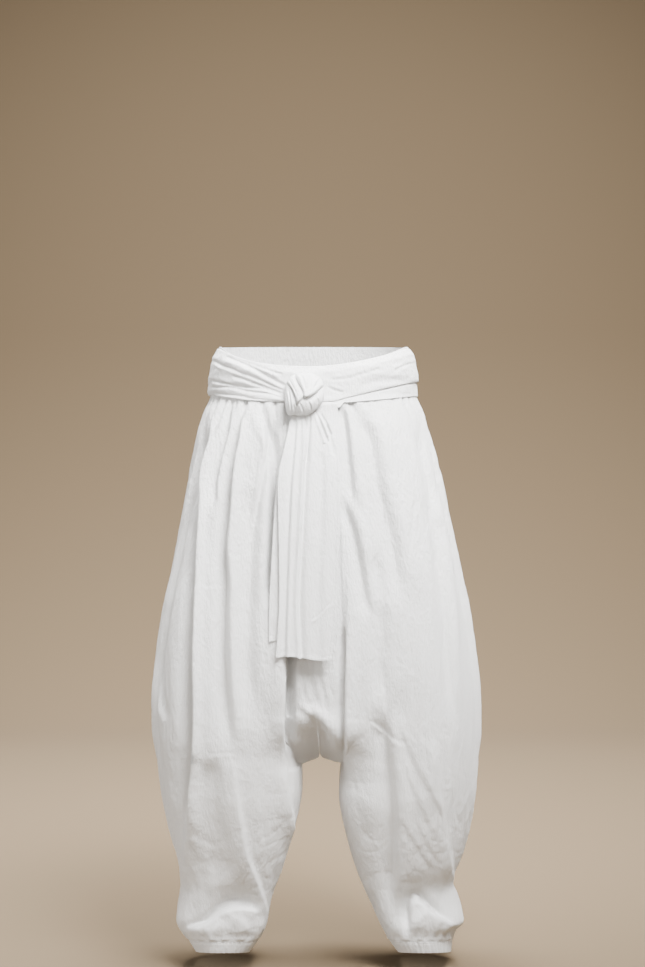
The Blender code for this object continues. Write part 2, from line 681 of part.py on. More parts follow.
def sash_upper():
    turns = np.arange(RING_COLUMNS) * 4 / RING_COLUMNS
    outer_steps = 2 * SASH_FOLDS
    outer_rows = []
    inner_rows = []
    for step in range(outer_steps + 1):
        share = step / outer_steps
        row = []
        for turn in turns:
            top = edge_height(turn, SASH_TOP_FRONT, SASH_TOP_SIDE, SASH_TOP_BACK)
            height = top + (sash_upper_low(turn) - top) * share
            row.append(ring_point(turn, height, SASH_SEAT + SASH_WALL + sash_ridge(turn, share)))
        outer_rows.append(row)
    for share in SASH_INNER_SHARES:
        row = []
        for turn in turns:
            top = edge_height(turn, SASH_TOP_FRONT, SASH_TOP_SIDE, SASH_TOP_BACK)
            height = top + (sash_upper_low(turn) - top) * share
            row.append(ring_point(turn, height, SASH_SEAT))
        inner_rows.append(row)
    return wall_object("sash_upper_wrap", outer_rows, inner_rows, SASH_COLOUR, closed=True)


def sash_lower():
    turns = np.linspace(UNDER_START + UNDER_INSET, UNDER_END - UNDER_INSET, UNDER_COLUMNS)
    outer_rows = []
    inner_rows = []
    for share in UNDER_SHARES:
        outer = []
        inner = []
        for turn in turns:
            top = sash_upper_low(turn) - SEAM_GAP
            height = top + (sash_low(turn) - UNDER_RISE - top) * share
            swell = UNDER_SWELL * np.sin(pi * share)
            outer.append(ring_point(turn, height, SASH_SEAT + CLOTH + swell))
            inner.append(ring_point(turn, height, SASH_SEAT))
        outer_rows.append(outer)
        inner_rows.append(inner)
    return wall_object("sash_lower_wrap", outer_rows, inner_rows, SASH_COLOUR)


def knot_back(height):
    """The knot's back plane, which steps forward where the tails pass behind it."""
    return KNOT_BACK - KNOT_TAIL_ROOM * smooth_step((KNOT_TAIL_TOP - height) / KNOT_TAIL_RUN)


def sash_knot():
    """The tied knot: a domed solid with the creases of its crossing bands."""
    points = []
    angles = np.arange(KNOT_COLUMNS) * 2 * pi / KNOT_COLUMNS
    outline = np.column_stack((
        KNOT_HALF_WIDTH * np.sign(np.cos(angles)) * np.abs(np.cos(angles)) ** (2 / KNOT_POWER),
        KNOT_HALF_HEIGHT * np.sign(np.sin(angles)) * np.abs(np.sin(angles)) ** (2 / KNOT_POWER),
    ))
    centre = np.array([KNOT_X, KNOT_HEIGHT])
    faces = []
    for ring in range(KNOT_RINGS):
        share = np.sin(pi / 2 * (1 - ring / KNOT_RINGS))
        dome = np.sqrt(max(1 - share ** KNOT_DOME_POWER, 0.0))
        places = centre + outline * share
        height = np.full(len(places), KNOT_RIM + KNOT_DEPTH * dome)
        relief = KNOT_RIM_RELIEF + (1 - KNOT_RIM_RELIEF) * dome
        for fold in KNOT_FOLDS:
            height += fold_height(places, fold) * relief
        for place, out in zip(places, height):
            points.append((place[0], knot_back(place[1]) - out, place[1]))
    tip = len(points)
    points.append((KNOT_X, knot_back(KNOT_HEIGHT) - KNOT_RIM - KNOT_DEPTH, KNOT_HEIGHT))
    back_first = len(points)
    for share in KNOT_BACK_SHARES:
        for place in centre + outline * share:
            points.append((place[0], knot_back(place[1]), place[1]))
    back_tip = len(points)
    points.append((KNOT_X, knot_back(KNOT_HEIGHT), KNOT_HEIGHT))

    def ring_numbers(first):
        return [first + column for column in range(KNOT_COLUMNS)] + [first]

    front = [ring_numbers(ring * KNOT_COLUMNS) for ring in range(KNOT_RINGS)]
    back = [ring_numbers(back_first + ring * KNOT_COLUMNS) for ring in range(len(KNOT_BACK_SHARES))]
    for outer, inner in zip(front[:-1], front[1:]):
        faces += strip_faces(outer, inner)
    for outer, inner in zip(back[:-1], back[1:]):
        faces += [face[::-1] for face in strip_faces(outer, inner)]
    faces += strip_faces(back[0], front[0])
    for column in range(KNOT_COLUMNS):
        faces.append((front[-1][column], tip, front[-1][column + 1]))
        faces.append((back[-1][column + 1], back_tip, back[-1][column]))
    return add_object("sash_knot", points, faces, SASH_COLOUR)


def sash_tail(name, table, folds, columns):
    """A hanging end of the sash, with its pleats fading into the knot."""
    outer_rows = []
    inner_rows = []
    for row in np.linspace(0, len(table) - 1, TAIL_CUTS * (len(table) - 1) + 1):
        values = [along_rows([getattr(entry, field) for entry in table], row) for field in TailRow._fields]
        height, right_edge, left_edge, y = values
        x = np.linspace(right_edge, left_edge, columns)
        points = np.column_stack((x, np.full(columns, y), np.full(columns, height)))
        places = seen_from_front(points)
        out = np.zeros(columns)
        for fold in folds:
            out += fold_height(places, fold)
        out *= smooth_step((TAIL_FOLD_TOP - height) / TAIL_FOLD_GROW)
        points[:, 1] -= out
        inner = points + np.array([0.0, TAIL_WALL, 0.0])
        outer_rows.append(points)
        inner_rows.append(inner)
    return wall_object(name, outer_rows, inner_rows, SASH_COLOUR)


def hem_cuff(side):
    """The narrow band at an ankle, a closed ring under the two leg panels."""
    half = CUFF_COLUMNS // 2
    fractions = np.linspace(0, 1, half + 1)
    outer_rows = []
    inner_rows = []
    for share in (0.0, 0.5, 1.0):
        row = HEM_SEAM_ROW + share
        front = section_points(side, "front", row, fractions)
        front_normals = base_normals(side, "front", row, fractions)
        back = section_points(side, "back", row, fractions)
        back_normals = base_normals(side, "back", row, fractions)
        ring = np.vstack((front, back[-2:0:-1]))
        normals = np.vstack((front_normals, back_normals[-2:0:-1]))
        normals[:, 2] = 0.0
        normals /= np.linalg.norm(normals, axis=1)[:, None]
        if share == 0.0:
            ring[:, 2] -= SEAM_GAP
        outer_rows.append(ring + normals * CUFF_PROUD)
        inner_rows.append(ring - normals * CLOTH)
    return wall_object("hem_cuff_" + side, outer_rows, inner_rows, CLOTH_COLOUR, closed=True)


def build():
    for thing in list(bpy.data.objects):
        bpy.data.objects.remove(thing, do_unlink=True)
    waistband()
    for side in ("right", "left"):
        for face in ("front", "back"):
            leg_panel(side, face)
        hem_cuff(side)
    sash_upper()
    sash_lower()
    sash_knot()
    sash_tail("sash_tail_front", FRONT_TAIL, FRONT_TAIL_FOLDS, TAIL_COLUMNS)
    sash_tail("sash_tail_back", BACK_TAIL, (), BACK_TAIL_COLUMNS)


build()
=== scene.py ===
"""Looks of the parachute trousers: crinkled white cotton, a knotted sash and a studio."""

from collections import namedtuple
from math import pi, radians

import bmesh
import bpy
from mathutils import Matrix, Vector
import numpy as np


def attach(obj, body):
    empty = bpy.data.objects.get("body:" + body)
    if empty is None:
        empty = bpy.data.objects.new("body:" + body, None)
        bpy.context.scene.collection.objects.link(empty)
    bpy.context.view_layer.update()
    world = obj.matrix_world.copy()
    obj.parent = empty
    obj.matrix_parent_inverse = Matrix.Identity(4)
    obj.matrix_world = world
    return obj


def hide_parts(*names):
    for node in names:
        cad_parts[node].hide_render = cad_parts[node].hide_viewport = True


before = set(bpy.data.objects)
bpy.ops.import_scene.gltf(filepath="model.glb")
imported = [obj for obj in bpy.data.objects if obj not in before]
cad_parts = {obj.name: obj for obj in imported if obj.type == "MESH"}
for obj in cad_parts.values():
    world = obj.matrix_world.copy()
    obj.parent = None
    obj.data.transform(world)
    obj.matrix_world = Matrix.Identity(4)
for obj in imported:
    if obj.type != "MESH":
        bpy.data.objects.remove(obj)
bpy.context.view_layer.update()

# Driving sizes, in metres
CLOTH = 0.0014
HALF_GAP = 0.00015
INSEAM_Y = 0.002
SIDE_SEAM_Y = 0.004
RIM_BACK = 0.049
RIM_SIDE = 0.040
RIM_FRONT = -0.003
EYE_X = 0.015
EYE_HEIGHT = -0.186
EYE_DISTANCE = 3.2

# How fine the grids are, and how much closer their rows lie towards the hems
PANEL_COLUMNS = {"front": 216, "back": 144}
PANEL_ROWS = 320
BAND_ROWS = 21
ROW_CROWDING = 0.4
RING_COLUMNS = 480
CURVE_STEPS = 60


def metres(values):
    """Millimetres, in which the tables are written, as metres."""
    return np.round(np.array(values, dtype=float) / 1000, 7)


# Level sections of the two legs, from the rim to the hems, in mm, with the crown
# and seam_in in thousandths. The outer and the inner-face columns are X, the crown
# is where across the leg it is deepest, front and back are the Y of the crown, and
# seam_in is 1 where the inner seam lies on the centre line and 0 where it lies on
# the leg's inner face.
SECTION_NAMES = (
    "height", "right_outer", "right_face", "left_face", "left_outer", "crown", "front", "back",
    "seam_in", "seam_height", "rise_front", "rise_back",
)
SECTIONS = metres((
    (50, -155.5, -30, 30, 156, 20, -106, 112, 1000, 50, -106, 112),
    (0, -166.5, -30, 30, 167, 20, -115, 119, 1000, 0, -115, 119),
    (-20, -169, -30, 30, 169, 20, -117, 121, 1000, -20, -117, 121),
    (-42, -170.5, -31, 31, 170.5, 50, -119, 123, 1000, -42, -119, 123),
    (-62, -180, -33, 33, 180.5, 100, -127, 131, 1000, -62, -127, 131),
    (-110, -193.5, -36, 36, 194, 220, -139, 144, 1000, -110, -138, 143),
    (-210, -212.5, -41, 41, 218.8, 340, -151, 158, 1000, -210, -148, 155),
    (-320, -232, -45, 45, 243.2, 400, -158, 166, 1000, -318, -149, 156),
    (-410, -251.5, -46, 47, 261, 420, -160, 166, 1000, -402, -151, 147),
    (-500, -263.5, -46, 48, 273.5, 440, -158, 161, 1000, -480, -149, 130),
    (-560, -267, -44, 49, 276.8, 460, -153, 154, 1000, -532, -143, 115),
    (-605, -265, -38, 50, 276.2, 480, -148, 148, 1000, -568, -128, 98),
    (-637, -260.5, -29, 51, 274.5, 490, -143, 143, 1000, -641, 2, 2),
    (-670, -256, -20, 49, 272.8, 500, -137, 138, 0, -648, 2, 2),
    (-710, -251, -21, 43, 269.5, 500, -129, 131, 0, -704, 2, 2),
    (-770, -237.5, -36, 57, 258, 500, -112, 119, 0, -770, 2, 2),
    (-810, -225.5, -48, 68, 246, 500, -98, 106, 0, -810, 2, 2),
    (-845, -220.5, -60, 80, 231.5, 500, -87, 95, 0, -845, 2, 2),
    (-875, -224.5, -70, 94, 241.5, 500, -83, 89, 0, -875, 2, 2),
    (-912, -228, -77, 110, 250, 500, -85, 84, 0, -912, 2, 2),
    (-932, -220.5, -82.5, 118.5, 237.5, 500, -82, 72, 0, -932, 2, 2),
    (-947, -207, -92.5, 127, 230.5, 500, -78, 58, 0, -947, 2, 2),
    (-966, -195, -107, 141, 228.5, 500, -74, 54, 0, -966, 2, 2),
))
COLUMNS = dict(zip(SECTION_NAMES, SECTIONS.T))
PANEL_TOP_ROW = 2
CROTCH_ROW = 12
HEM_SEAM_ROW = 21
HEM_ROW = 22
OUTER_POWER = 2.15
INNER_POWER = 2.7
FILLET_SHARE = 0.35

# How much higher each hem stands at its front than at its seams, and where that starts
HEM_LIFT = 0.0155
HEM_LIFT_ROW = 17

# The drape at the crotch slants across the front, and the gap under it is higher on the left
DRAPE_ROW = 11
DRAPE_SLANT = {"right": -0.010, "left": -0.024}
GAP_SLANT = 0.014
DRAPE_SPAN = 0.8

# Folds of the legs, as seen from the front. The two widths are those of the
# fold's right and left flank (-X and +X), depth is out of the cloth, the lip
# is a soft ridge on the steeper flank, and spread widens the fold downwards.
Fold = namedtuple("Fold", "name width_right width_left depth lip spread path")
TROUGH_STRENGTH = 1.8
RIDGE_STRENGTH = 1.15
BREAK_STRENGTH = {"front": 1.0, "back": 0.45}

# Over what share of a fold's length it comes and goes
FOLD_ENDS = (0.16, 0.20)
RIDGE_ENDS = (0.55, 0.15)
BREAK_ENDS = (0.25, 0.25)
SASH_FOLD_ENDS = (0.10, 0.08)
TAIL_FOLD_ENDS = (0.04, 0.03)


def fold_table(*rows):
    """Folds from rows of name, right width, left width, depth, lip, spread and path, in mm."""
    return tuple(
        Fold(name, *metres(sizes), lip, spread, metres(path))
        for name, *sizes, lip, spread, path in rows
    )


FRONT_FOLDS = fold_table(
    ("right_side_trough", 13, 4.2, -13, 0.5, 1.25, ((-174, -52), (-178, -108), (-189, -172), (-194, -254),
     (-199, -343), (-205, -464), (-206, -614), (-211, -697), (-214, -760), (-219, -826))),
    ("right_second_line", 5, 3, -4.2, 0.5, 1.3, ((-139, -50), (-145, -94), (-158, -146), (-165, -182),
     (-168, -230))),
    ("right_middle_trough", 12, 4.2, -9.2, 0.5, 1.6, ((-126.7, -50), (-128, -94), (-136, -144),
     (-142, -194), (-145, -234), (-150.5, -289), (-148, -350), (-149, -430), (-147, -520), (-139, -640))),
    ("right_soft_trough", 14, 10, -5, 0.3, 1.3, ((-100, -180), (-104, -300), (-108, -450), (-103, -600))),
    ("right_tail_trough", 6.5, 9, -8, 0.2, 1.3, ((-84, -50), (-76, -94), (-67.5, -122), (-64.2, -164),
     (-64.2, -205), (-67.5, -247), (-69.7, -300), (-76, -400))),
    ("right_tail_crease", 3, 4, -2.6, 0.6, 1.2, ((-80.8, -66), (-77.5, -94), (-76.5, -122), (-84, -177),
     (-94, -234), (-98, -270))),
    ("right_inner_edge", 18, 5, 8.5, 0, 1, ((-52, -380), (-52, -560), (-51, -643), (-44.5, -710),
     (-38, -765), (-44, -810))),
    ("right_inner_valley", 5, 8.5, -17, 0, 1, ((-41.5, -400), (-41.5, -547), (-41, -605), (-40, -640))),
    ("right_knee_edge", 4, 7, -4, 0.5, 1, ((-246, -370), (-256, -440), (-259, -487), (-254, -557),
     (-242, -588))),
    ("right_shin_ridge", 30, 6, 6.6, 0, 0.8, ((-140, -600), (-134, -670), (-124, -740), (-114, -797),
     (-104, -828), (-90.5, -863), (-82.5, -892), (-79, -915))),
    ("right_outer_ridge", 5, 22, 6, 0, 0.9, ((-206, -560), (-210, -690), (-213.5, -760), (-216.5, -826),
     (-220.5, -870))),
    ("right_shin_soft", 20, 18, -4.5, 0.2, 1.2, ((-172, -640), (-170, -720), (-162, -800), (-150, -860))),
    ("right_crumple", 3.5, 6, -0.3, 0.5, 1, ((-203, -760), (-193, -777), (-176, -790), (-160, -796))),
    ("left_tail_line", 10, 4.5, -4.5, 0.5, 1.4, ((47, -50), (54, -104), (57, -140), (61, -179),
     (63, -230))),
    ("left_middle_trough", 17, 8.5, -5.2, 0.4, 1.6, ((69, -50), (82, -80), (96, -115), (107, -182),
     (118, -232), (127, -265), (137, -330), (146, -400))),
    ("left_inner_line", 10, 6, -4.2, 0.5, 1.4, ((50, -200), (55, -235), (67, -275), (83, -365),
     (92, -420))),
    ("left_soft_line", 14, 11, -3.5, 0.4, 1.3, ((98, -290), (108, -370), (112, -450), (108, -560))),
    ("left_side_line", 10, 5, -4.5, 0.6, 1.2, ((176, -59), (181, -109), (189, -155), (198, -197),
     (203, -242), (209, -275), (219, -380), (228, -487), (233, -545), (243, -600))),
    ("left_knee_wrinkle", 2.4, 6, -0.7, 0.5, 1, ((92, -578), (106, -590), (122, -603), (141, -616),
     (160, -622))),
    ("left_knee_rise", 3, 7, -0.6, 0.5, 1, ((112, -480), (120, -540), (126, -590))),
    ("left_thigh_wrinkle", 12, 4, -0.8, 0.4, 1, ((128, -560), (140, -590), (156, -632), (171, -664),
     (198, -714), (214, -750), (226, -800))),
    ("left_thigh_second", 8, 3.4, -0.5, 0.4, 1, ((140, -630), (150, -664), (166, -704), (186, -748),
     (196, -780))),
    ("left_shin_wrinkle", 7, 3.2, -0.5, 0.4, 1, ((142, -742), (151, -760), (168, -790), (189, -819),
     (204, -836))),
    ("left_shin_second", 6, 3, -0.4, 0.4, 1, ((170, -752), (179, -770), (192, -795), (208, -822))),
    ("left_shin_valley", 20, 10, -7.5, 0.3, 0.9, ((114, -560), (122, -660), (129, -750), (127, -839),
     (120, -905))),
    ("left_shin_edge", 22, 6.5, 4.2, 0, 1, ((196, -600), (204, -680), (213, -745), (220.5, -790),
     (226.5, -830), (235, -862), (246, -895))),
    ("left_inner_ridge", 4.5, 18, 7.5, 0, 1, ((58, -300), (57, -400), (56.5, -560), (58.5, -655),
     (60, -700))),
    ("left_inner_valley", 5, 3.5, -6, 0, 1, ((49, -420), (48, -540), (48.5, -600), (50, -650))),
    ("centre_rib_1", 6.5, 4, -0.9, 0.5, 1, ((-24, -480), (-16, -530), (-4, -566))),
    ("centre_rib_2", 6, 3.6, -0.8, 0.6, 1, ((-14, -470), (-2, -520), (12, -572))),
    ("centre_rib_3", 6, 3.6, -0.7, 0.6, 1, ((2, -465), (12, -515), (26, -575))),
    ("drape_edge", 5, 16, 3.6, 0, 1, ((-30, -548), (-14, -562), (4, -573), (18, -582), (29, -594),
     (37, -612), (42, -636))),
    ("pressed_upper", 1.6, 3, -0.3, 0.6, 1, ((-166, -290), (-131, -290.5))),
    ("pressed_middle", 1.6, 3, -0.3, 0.6, 1, ((-203, -356.5), (-157, -357))),
    ("pressed_lower", 1.6, 3, -0.3, 0.6, 1, ((-180, -637), (-124, -636.5))),
)
BACK_FOLDS = fold_table(
    ("right_back_side", 12, 6, -9, 0.5, 1.2, ((-178, -80), (-192, -200), (-204, -330), (-208, -470),
     (-213, -640), (-220, -820))),
    ("right_back_middle", 14, 7, -8, 0.5, 1.5, ((-118, -60), (-133, -180), (-150, -330), (-146, -520),
     (-133, -720))),
    ("right_back_seat", 11, 7, -6, 0.5, 1.4, ((-40, -60), (-64, -170), (-86, -300), (-92, -460),
     (-84, -580))),
    ("right_back_fall", 9, 7, -4, 0.5, 1.4, ((-20, -100), (-34, -240), (-40, -400))),
    ("right_back_calf", 10, 6, -5, 0.6, 1.1, ((-190, -610), (-170, -690), (-138, -780), (-120, -850))),
    ("right_back_shin", 7, 6, -4, 0.6, 1.1, ((-196, -740), (-180, -800), (-160, -850))),
    ("left_back_side", 6, 12, -9, 0.5, 1.2, ((181, -80), (197, -210), (212, -360), (224, -540), (232, -700),
     (226, -820))),
    ("left_back_middle", 7, 14, -8, 0.5, 1.5, ((108, -60), (127, -180), (146, -340), (160, -540),
     (162, -700))),
    ("left_back_seat", 7, 11, -6, 0.5, 1.4, ((44, -60), (68, -170), (88, -310), (96, -450), (90, -570))),
    ("left_back_fall", 7, 9, -4, 0.5, 1.4, ((20, -90), (30, -210), (42, -360))),
    ("left_back_calf", 6, 10, -5, 0.6, 1.1, ((226, -600), (206, -690), (172, -780), (150, -850))),
    ("left_back_shin", 6, 7, -4, 0.6, 1.1, ((236, -740), (216, -800), (190, -850))),
)

# Folds of the two outer sides: the path is (y, height)
SIDE_FOLDS = fold_table(
    ("side_front_fall", 12, 7, -6, 0.5, 1.4, ((-50, -70), (-62, -200), (-66, -360), (-58, -540),
     (-48, -700))),
    ("side_middle_fall", 7, 12, -5, 0.5, 1.4, ((12, -60), (20, -180), (14, -340), (22, -500), (10, -660))),
    ("side_back_fall", 8, 13, -6, 0.5, 1.4, ((64, -70), (78, -200), (84, -380), (74, -580), (56, -740))),
    ("side_knee_cross", 10, 10, -1.2, 0.4, 1, ((-60, -600), (-10, -650), (50, -672))),
)

# The fold that breaks over each hem: the path runs under the overhang
BREAK_FOLDS = {
    "left": fold_table(
        ("break_overhang", 9, 24, -8.5, 0, 1, ((150, -944), (149.5, -913.5), (151, -887), (160, -873.5),
         (174.2, -869), (190, -875.2), (210, -892.5), (230, -905), (246, -911))),
        ("break_valley", 4.5, 9, -12.5, 0, 1, ((157, -944), (156, -918), (156.5, -895), (163, -882),
         (174.2, -877.5), (188, -883), (207, -899.5), (227, -912.5), (246, -919))),
        ("break_bulge", 15, 11, 5, 0, 1, ((174, -936), (176, -916), (188, -904), (208, -911), (228, -922))),
        ("break_lower_crease", 3.5, 6, -4, 0.3, 1, ((214, -947), (223, -939), (234, -932), (246, -926))),
    ),
    "right": fold_table(
        ("break_overhang", 9, 26, -9, 0, 1, ((-226, -919), (-208, -918.5), (-190, -913.5), (-173.5, -902.5),
         (-158, -890.5), (-142, -883.5), (-122, -881.5), (-102.5, -886), (-87, -896.5))),
        ("break_valley", 5, 9.5, -11.5, 0, 1, ((-226, -925), (-208, -924), (-190, -918.5), (-171, -907.5),
         (-156, -896.5), (-140, -889), (-122, -887), (-102.5, -891), (-87, -901))),
        ("break_crest", 14, 5, 3.2, 0, 1, ((-156, -908), (-140, -899), (-124, -896), (-105, -899),
         (-88, -906))),
        ("break_left_crease", 11, 5, -2, 0.3, 1, ((-150, -907), (-160, -915), (-171, -924), (-179, -934))),
        ("break_facet_edge", 17, 7, 3, 0, 1, ((-142, -908), (-124, -915), (-115, -924), (-111, -940))),
    ),
}

# Gathers that run down from the waist seam of a front panel: where on its width
# from the centre line (0) to the side seam (1), and how wide, deep and long in mm.
Gather = namedtuple("Gather", "share width depth length")


def gather_table(*rows):
    """Gathers from rows of share, width, depth and length, in mm but for the share."""
    return tuple(Gather(share, *metres(sizes)) for share, *sizes in rows)


GATHERS = {
    "right": gather_table(
        (0.07, 4, 4, 70), (0.15, 3.4, 3.4, 60), (0.23, 4, 4, 120), (0.32, 3.6, 4, 90), (0.37, 3, 3, 50),
        (0.435, 3.4, 4.2, 140), (0.505, 3.4, 3.6, 100), (0.555, 3.6, 4.2, 190), (0.61, 3.4, 3.8, 120),
        (0.7, 4.2, 4.4, 230), (0.755, 2.8, 2.6, 60), (0.8, 3.6, 4, 130), (0.85, 3, 3.2, 70),
        (0.9, 3.6, 3.6, 150), (0.95, 3, 2.8, 60),
    ),
    "left": gather_table(
        (0.06, 4, 3.4, 80), (0.14, 3.6, 3.2, 70), (0.235, 4.4, 4.2, 100), (0.34, 3.2, 2.6, 50),
        (0.41, 3.6, 2.2, 60), (0.47, 2.8, 2.2, 32), (0.53, 3, 2.4, 45), (0.59, 3, 2.2, 36),
        (0.66, 3.4, 2.6, 90), (0.73, 3, 2.4, 50), (0.8, 3, 2.4, 60), (0.86, 3.2, 2.8, 80),
        (0.92, 3.2, 2.8, 120), (0.965, 2.8, 2.2, 60),
    ),
}
BACK_GATHERS = 15
GATHER_TOP = -0.030


def smooth_step(amount):
    amount = np.clip(amount, 0.0, 1.0)
    return amount * amount * (3 - 2 * amount)


def along_rows(values, rows):
    """Smooth values between the rows of a table, at row numbers with decimals."""
    rows = np.asarray(rows, dtype=float)
    last = len(values) - 1
    start = np.clip(rows.astype(int), 0, last - 1)
    part = rows - start
    before = values[np.maximum(start - 1, 0)]
    here = values[start]
    after = values[start + 1]
    beyond = values[np.minimum(start + 2, last)]
    straight = after - before
    bend = 2 * before - 5 * here + 4 * after - beyond
    twist = 3 * here - before - 3 * after + beyond
    return here + 0.5 * part * (straight + part * (bend + part * twist))


def section_value(name, rows):
    return along_rows(COLUMNS[name], rows)


ROW_SAMPLES = np.linspace(0, HEM_ROW, 2001)
ROW_HEIGHTS = section_value("height", ROW_SAMPLES)


def rows_at_heights(heights):
    return np.interp(-np.asarray(heights), -ROW_HEIGHTS, ROW_SAMPLES)


def section_lines(side, face, rows):
    """Sections of a panel as fine lines, from its inner seam to its side seam."""
    rows = np.atleast_1d(rows).astype(float)[:, None]
    value = {name: section_value(name, rows) for name in SECTION_NAMES}
    outer_x = value[side + "_outer"]
    face_x = value[side + "_face"]
    crown_x = face_x + (outer_x - face_x) * value["crown"]
    crown_y = value[face]
    seam_in = np.clip(value["seam_in"], 0.0, 1.0)
    middle_x = (value["right_face"] + value["left_face"]) / 2
    seam_x = face_x * (1 - seam_in) + middle_x * seam_in
    seam_x = seam_x + (HALF_GAP if side == "left" else -HALF_GAP)
    if face == "front":
        away, furthest = -HALF_GAP, np.minimum
    else:
        away, furthest = HALF_GAP, np.maximum
    seam_y = away + furthest(value["rise_" + face], INSEAM_Y)
    side_y = away + SIDE_SEAM_Y
    fillet_y = seam_y + (crown_y - seam_y) * FILLET_SHARE

    turn = np.linspace(0, pi / 2, CURVE_STEPS)[None, :]
    straight = turn * 2 / pi
    round_share = smooth_step((CROTCH_ROW - rows) / 2)
    fillet_line_x = seam_x + (face_x - seam_x) * (straight + (np.sin(turn) - straight) * round_share)
    fillet_line_y = seam_y + (fillet_y - seam_y) * (straight + (1 - np.cos(turn) - straight) * round_share)
    inner_line_x = crown_x + (face_x - crown_x) * np.cos(turn) ** (2 / INNER_POWER)
    inner_line_y = fillet_y + (crown_y - fillet_y) * np.sin(turn) ** (2 / INNER_POWER)
    outer_line_x = crown_x + (outer_x - crown_x) * np.sin(turn) ** (2 / OUTER_POWER)
    outer_line_y = side_y + (crown_y - side_y) * np.cos(turn) ** (2 / OUTER_POWER)
    x = np.hstack((fillet_line_x, inner_line_x[:, 1:], outer_line_x[:, 1:]))
    y = np.hstack((fillet_line_y, inner_line_y[:, 1:], outer_line_y[:, 1:]))
    steps = np.hypot(np.diff(x, axis=1), np.diff(y, axis=1))
    length = np.hstack((np.zeros((len(rows), 1)), np.cumsum(steps, axis=1)))

    crown_at = length[:, 2 * CURVE_STEPS - 2][:, None]
    rise = smooth_step(1 - length / crown_at)
    z = value["height"] + (value["seam_height"] - value["height"]) * rise
    inner_share = np.clip(length / crown_at, 0.0, 1.0)
    sway = smooth_step(inner_share / 0.15) * smooth_step((0.5 - inner_share) / 0.3)
    if side == "left":
        past_crotch = smooth_step(rows - CROTCH_ROW) * smooth_step((CROTCH_ROW + 3 - rows) / 2)
        z = z + GAP_SLANT * past_crotch * sway
    if face == "front":
        z = z + DRAPE_SLANT[side] * np.exp(-((rows - DRAPE_ROW) / DRAPE_SPAN) ** 2) * sway
        forward = np.clip((INSEAM_Y - y) / (INSEAM_Y - crown_y), 0, 1)
        lowered = (rows - HEM_LIFT_ROW) / (HEM_SEAM_ROW - HEM_LIFT_ROW)
        z = z + HEM_LIFT * forward * smooth_step(lowered)
    return length, np.stack((x, y, z), axis=2)


def section_grid(side, face, rows, shares):
    """Points at shares of each section's length, as a (rows, shares, 3) grid."""
    length, lines = section_lines(side, face, rows)
    grid = np.empty((len(length), len(shares), 3))
    for number in range(len(length)):
        wanted = shares * length[number, -1]
        for axis in range(3):
            grid[number, :, axis] = np.interp(wanted, length[number], lines[number, :, axis])
    return grid


def soften(grid, reach, axis):
    """Smooths a grid of points along one axis and keeps its two ends in place."""
    offsets = np.arange(-3 * reach, 3 * reach + 1)
    weights = np.exp(-0.5 * (offsets / reach) ** 2)
    weights /= weights.sum()
    moved = np.moveaxis(grid, axis, 0)
    pad = 3 * reach
    start = 2 * moved[:1] - moved[pad:0:-1]
    end = 2 * moved[-1:] - moved[-2:-pad - 2:-1]
    padded = np.concatenate((start, moved, end))
    smooth = sum(weight * padded[shift:shift + len(moved)] for shift, weight in enumerate(weights))
    return np.moveaxis(smooth, 0, axis)


def grid_normals(grid, flip):
    down = np.gradient(grid, axis=0)
    across = np.gradient(grid, axis=1)
    normal = np.cross(down, across)
    if flip:
        normal = -normal
    return normal / np.maximum(np.linalg.norm(normal, axis=2, keepdims=True), 1e-12)


# Smooth noise, the same on every run
NOISE_RANDOM = np.random.default_rng(11)
NOISE_ORDER = NOISE_RANDOM.permutation(256)
NOISE_SLOPES = NOISE_RANDOM.normal(size=(256, 3))
NOISE_SLOPES /= np.linalg.norm(NOISE_SLOPES, axis=1, keepdims=True)


def noise(points, scale, shift=0.0):
    """Gradient noise of about -1 to 1 at points, for wave lengths of scale along each axis."""
    place = points / np.asarray(scale) + shift
    cell = np.floor(place).astype(int)
    part = place - cell
    blend = part * part * part * (part * (part * 6 - 15) + 10)
    total = np.zeros(points.shape[:-1])
    for corner in range(8):
        step = np.array([corner & 1, (corner >> 1) & 1, (corner >> 2) & 1])
        index = cell + step
        key = NOISE_ORDER[index[..., 0] % 256]
        key = NOISE_ORDER[(key + index[..., 1]) % 256]
        key = NOISE_ORDER[(key + index[..., 2]) % 256]
        reach = part - step
        value = (NOISE_SLOPES[key] * reach).sum(axis=-1)
        weight = np.where(step == 1, blend, 1 - blend).prod(axis=-1)
        total += weight * value
    return 1.6 * total


# Layers of noise: how deep, the wave lengths along each axis, and a shift of the pattern
NoiseLayer = namedtuple("NoiseLayer", "depth scale shift")
LEG_CRINKLE = (
    NoiseLayer(0.0020, (0.045, 0.045, 0.30), 3.1),
    NoiseLayer(0.0010, (0.018, 0.018, 0.085), 7.7),
    NoiseLayer(0.00045, (0.010, 0.010, 0.024), 1.3),
    NoiseLayer(0.00020, (0.0055, 0.0055, 0.0085), 5.9),
)
BAND_CRINKLE = (
    NoiseLayer(0.0003, (0.012, 0.012, 0.030), 8.1),
    NoiseLayer(0.0004, (0.05, 0.05, 0.03), 6.0),
)
SASH_CRINKLE = (
    NoiseLayer(0.0007, (0.050, 0.050, 0.012), 4.4),
    NoiseLayer(0.00025, (0.010, 0.010, 0.006), 2.2),
)
KNOT_CRINKLE = (
    NoiseLayer(0.0005, 0.008, 9.0),
    NoiseLayer(0.0002, 0.003, 2.0),
)
WRINKLE_BENDS = (
    NoiseLayer(0.020, (0.10, 0.10, 0.16), 2.6),
    NoiseLayer(0.020, (0.10, 0.10, 0.16), 8.3),
    NoiseLayer(0.030, (0.12, 0.12, 0.12), 5.2),
)
TAIL_HANG = NoiseLayer(0.0014, (0.030, 0.030, 0.200), 3.7)
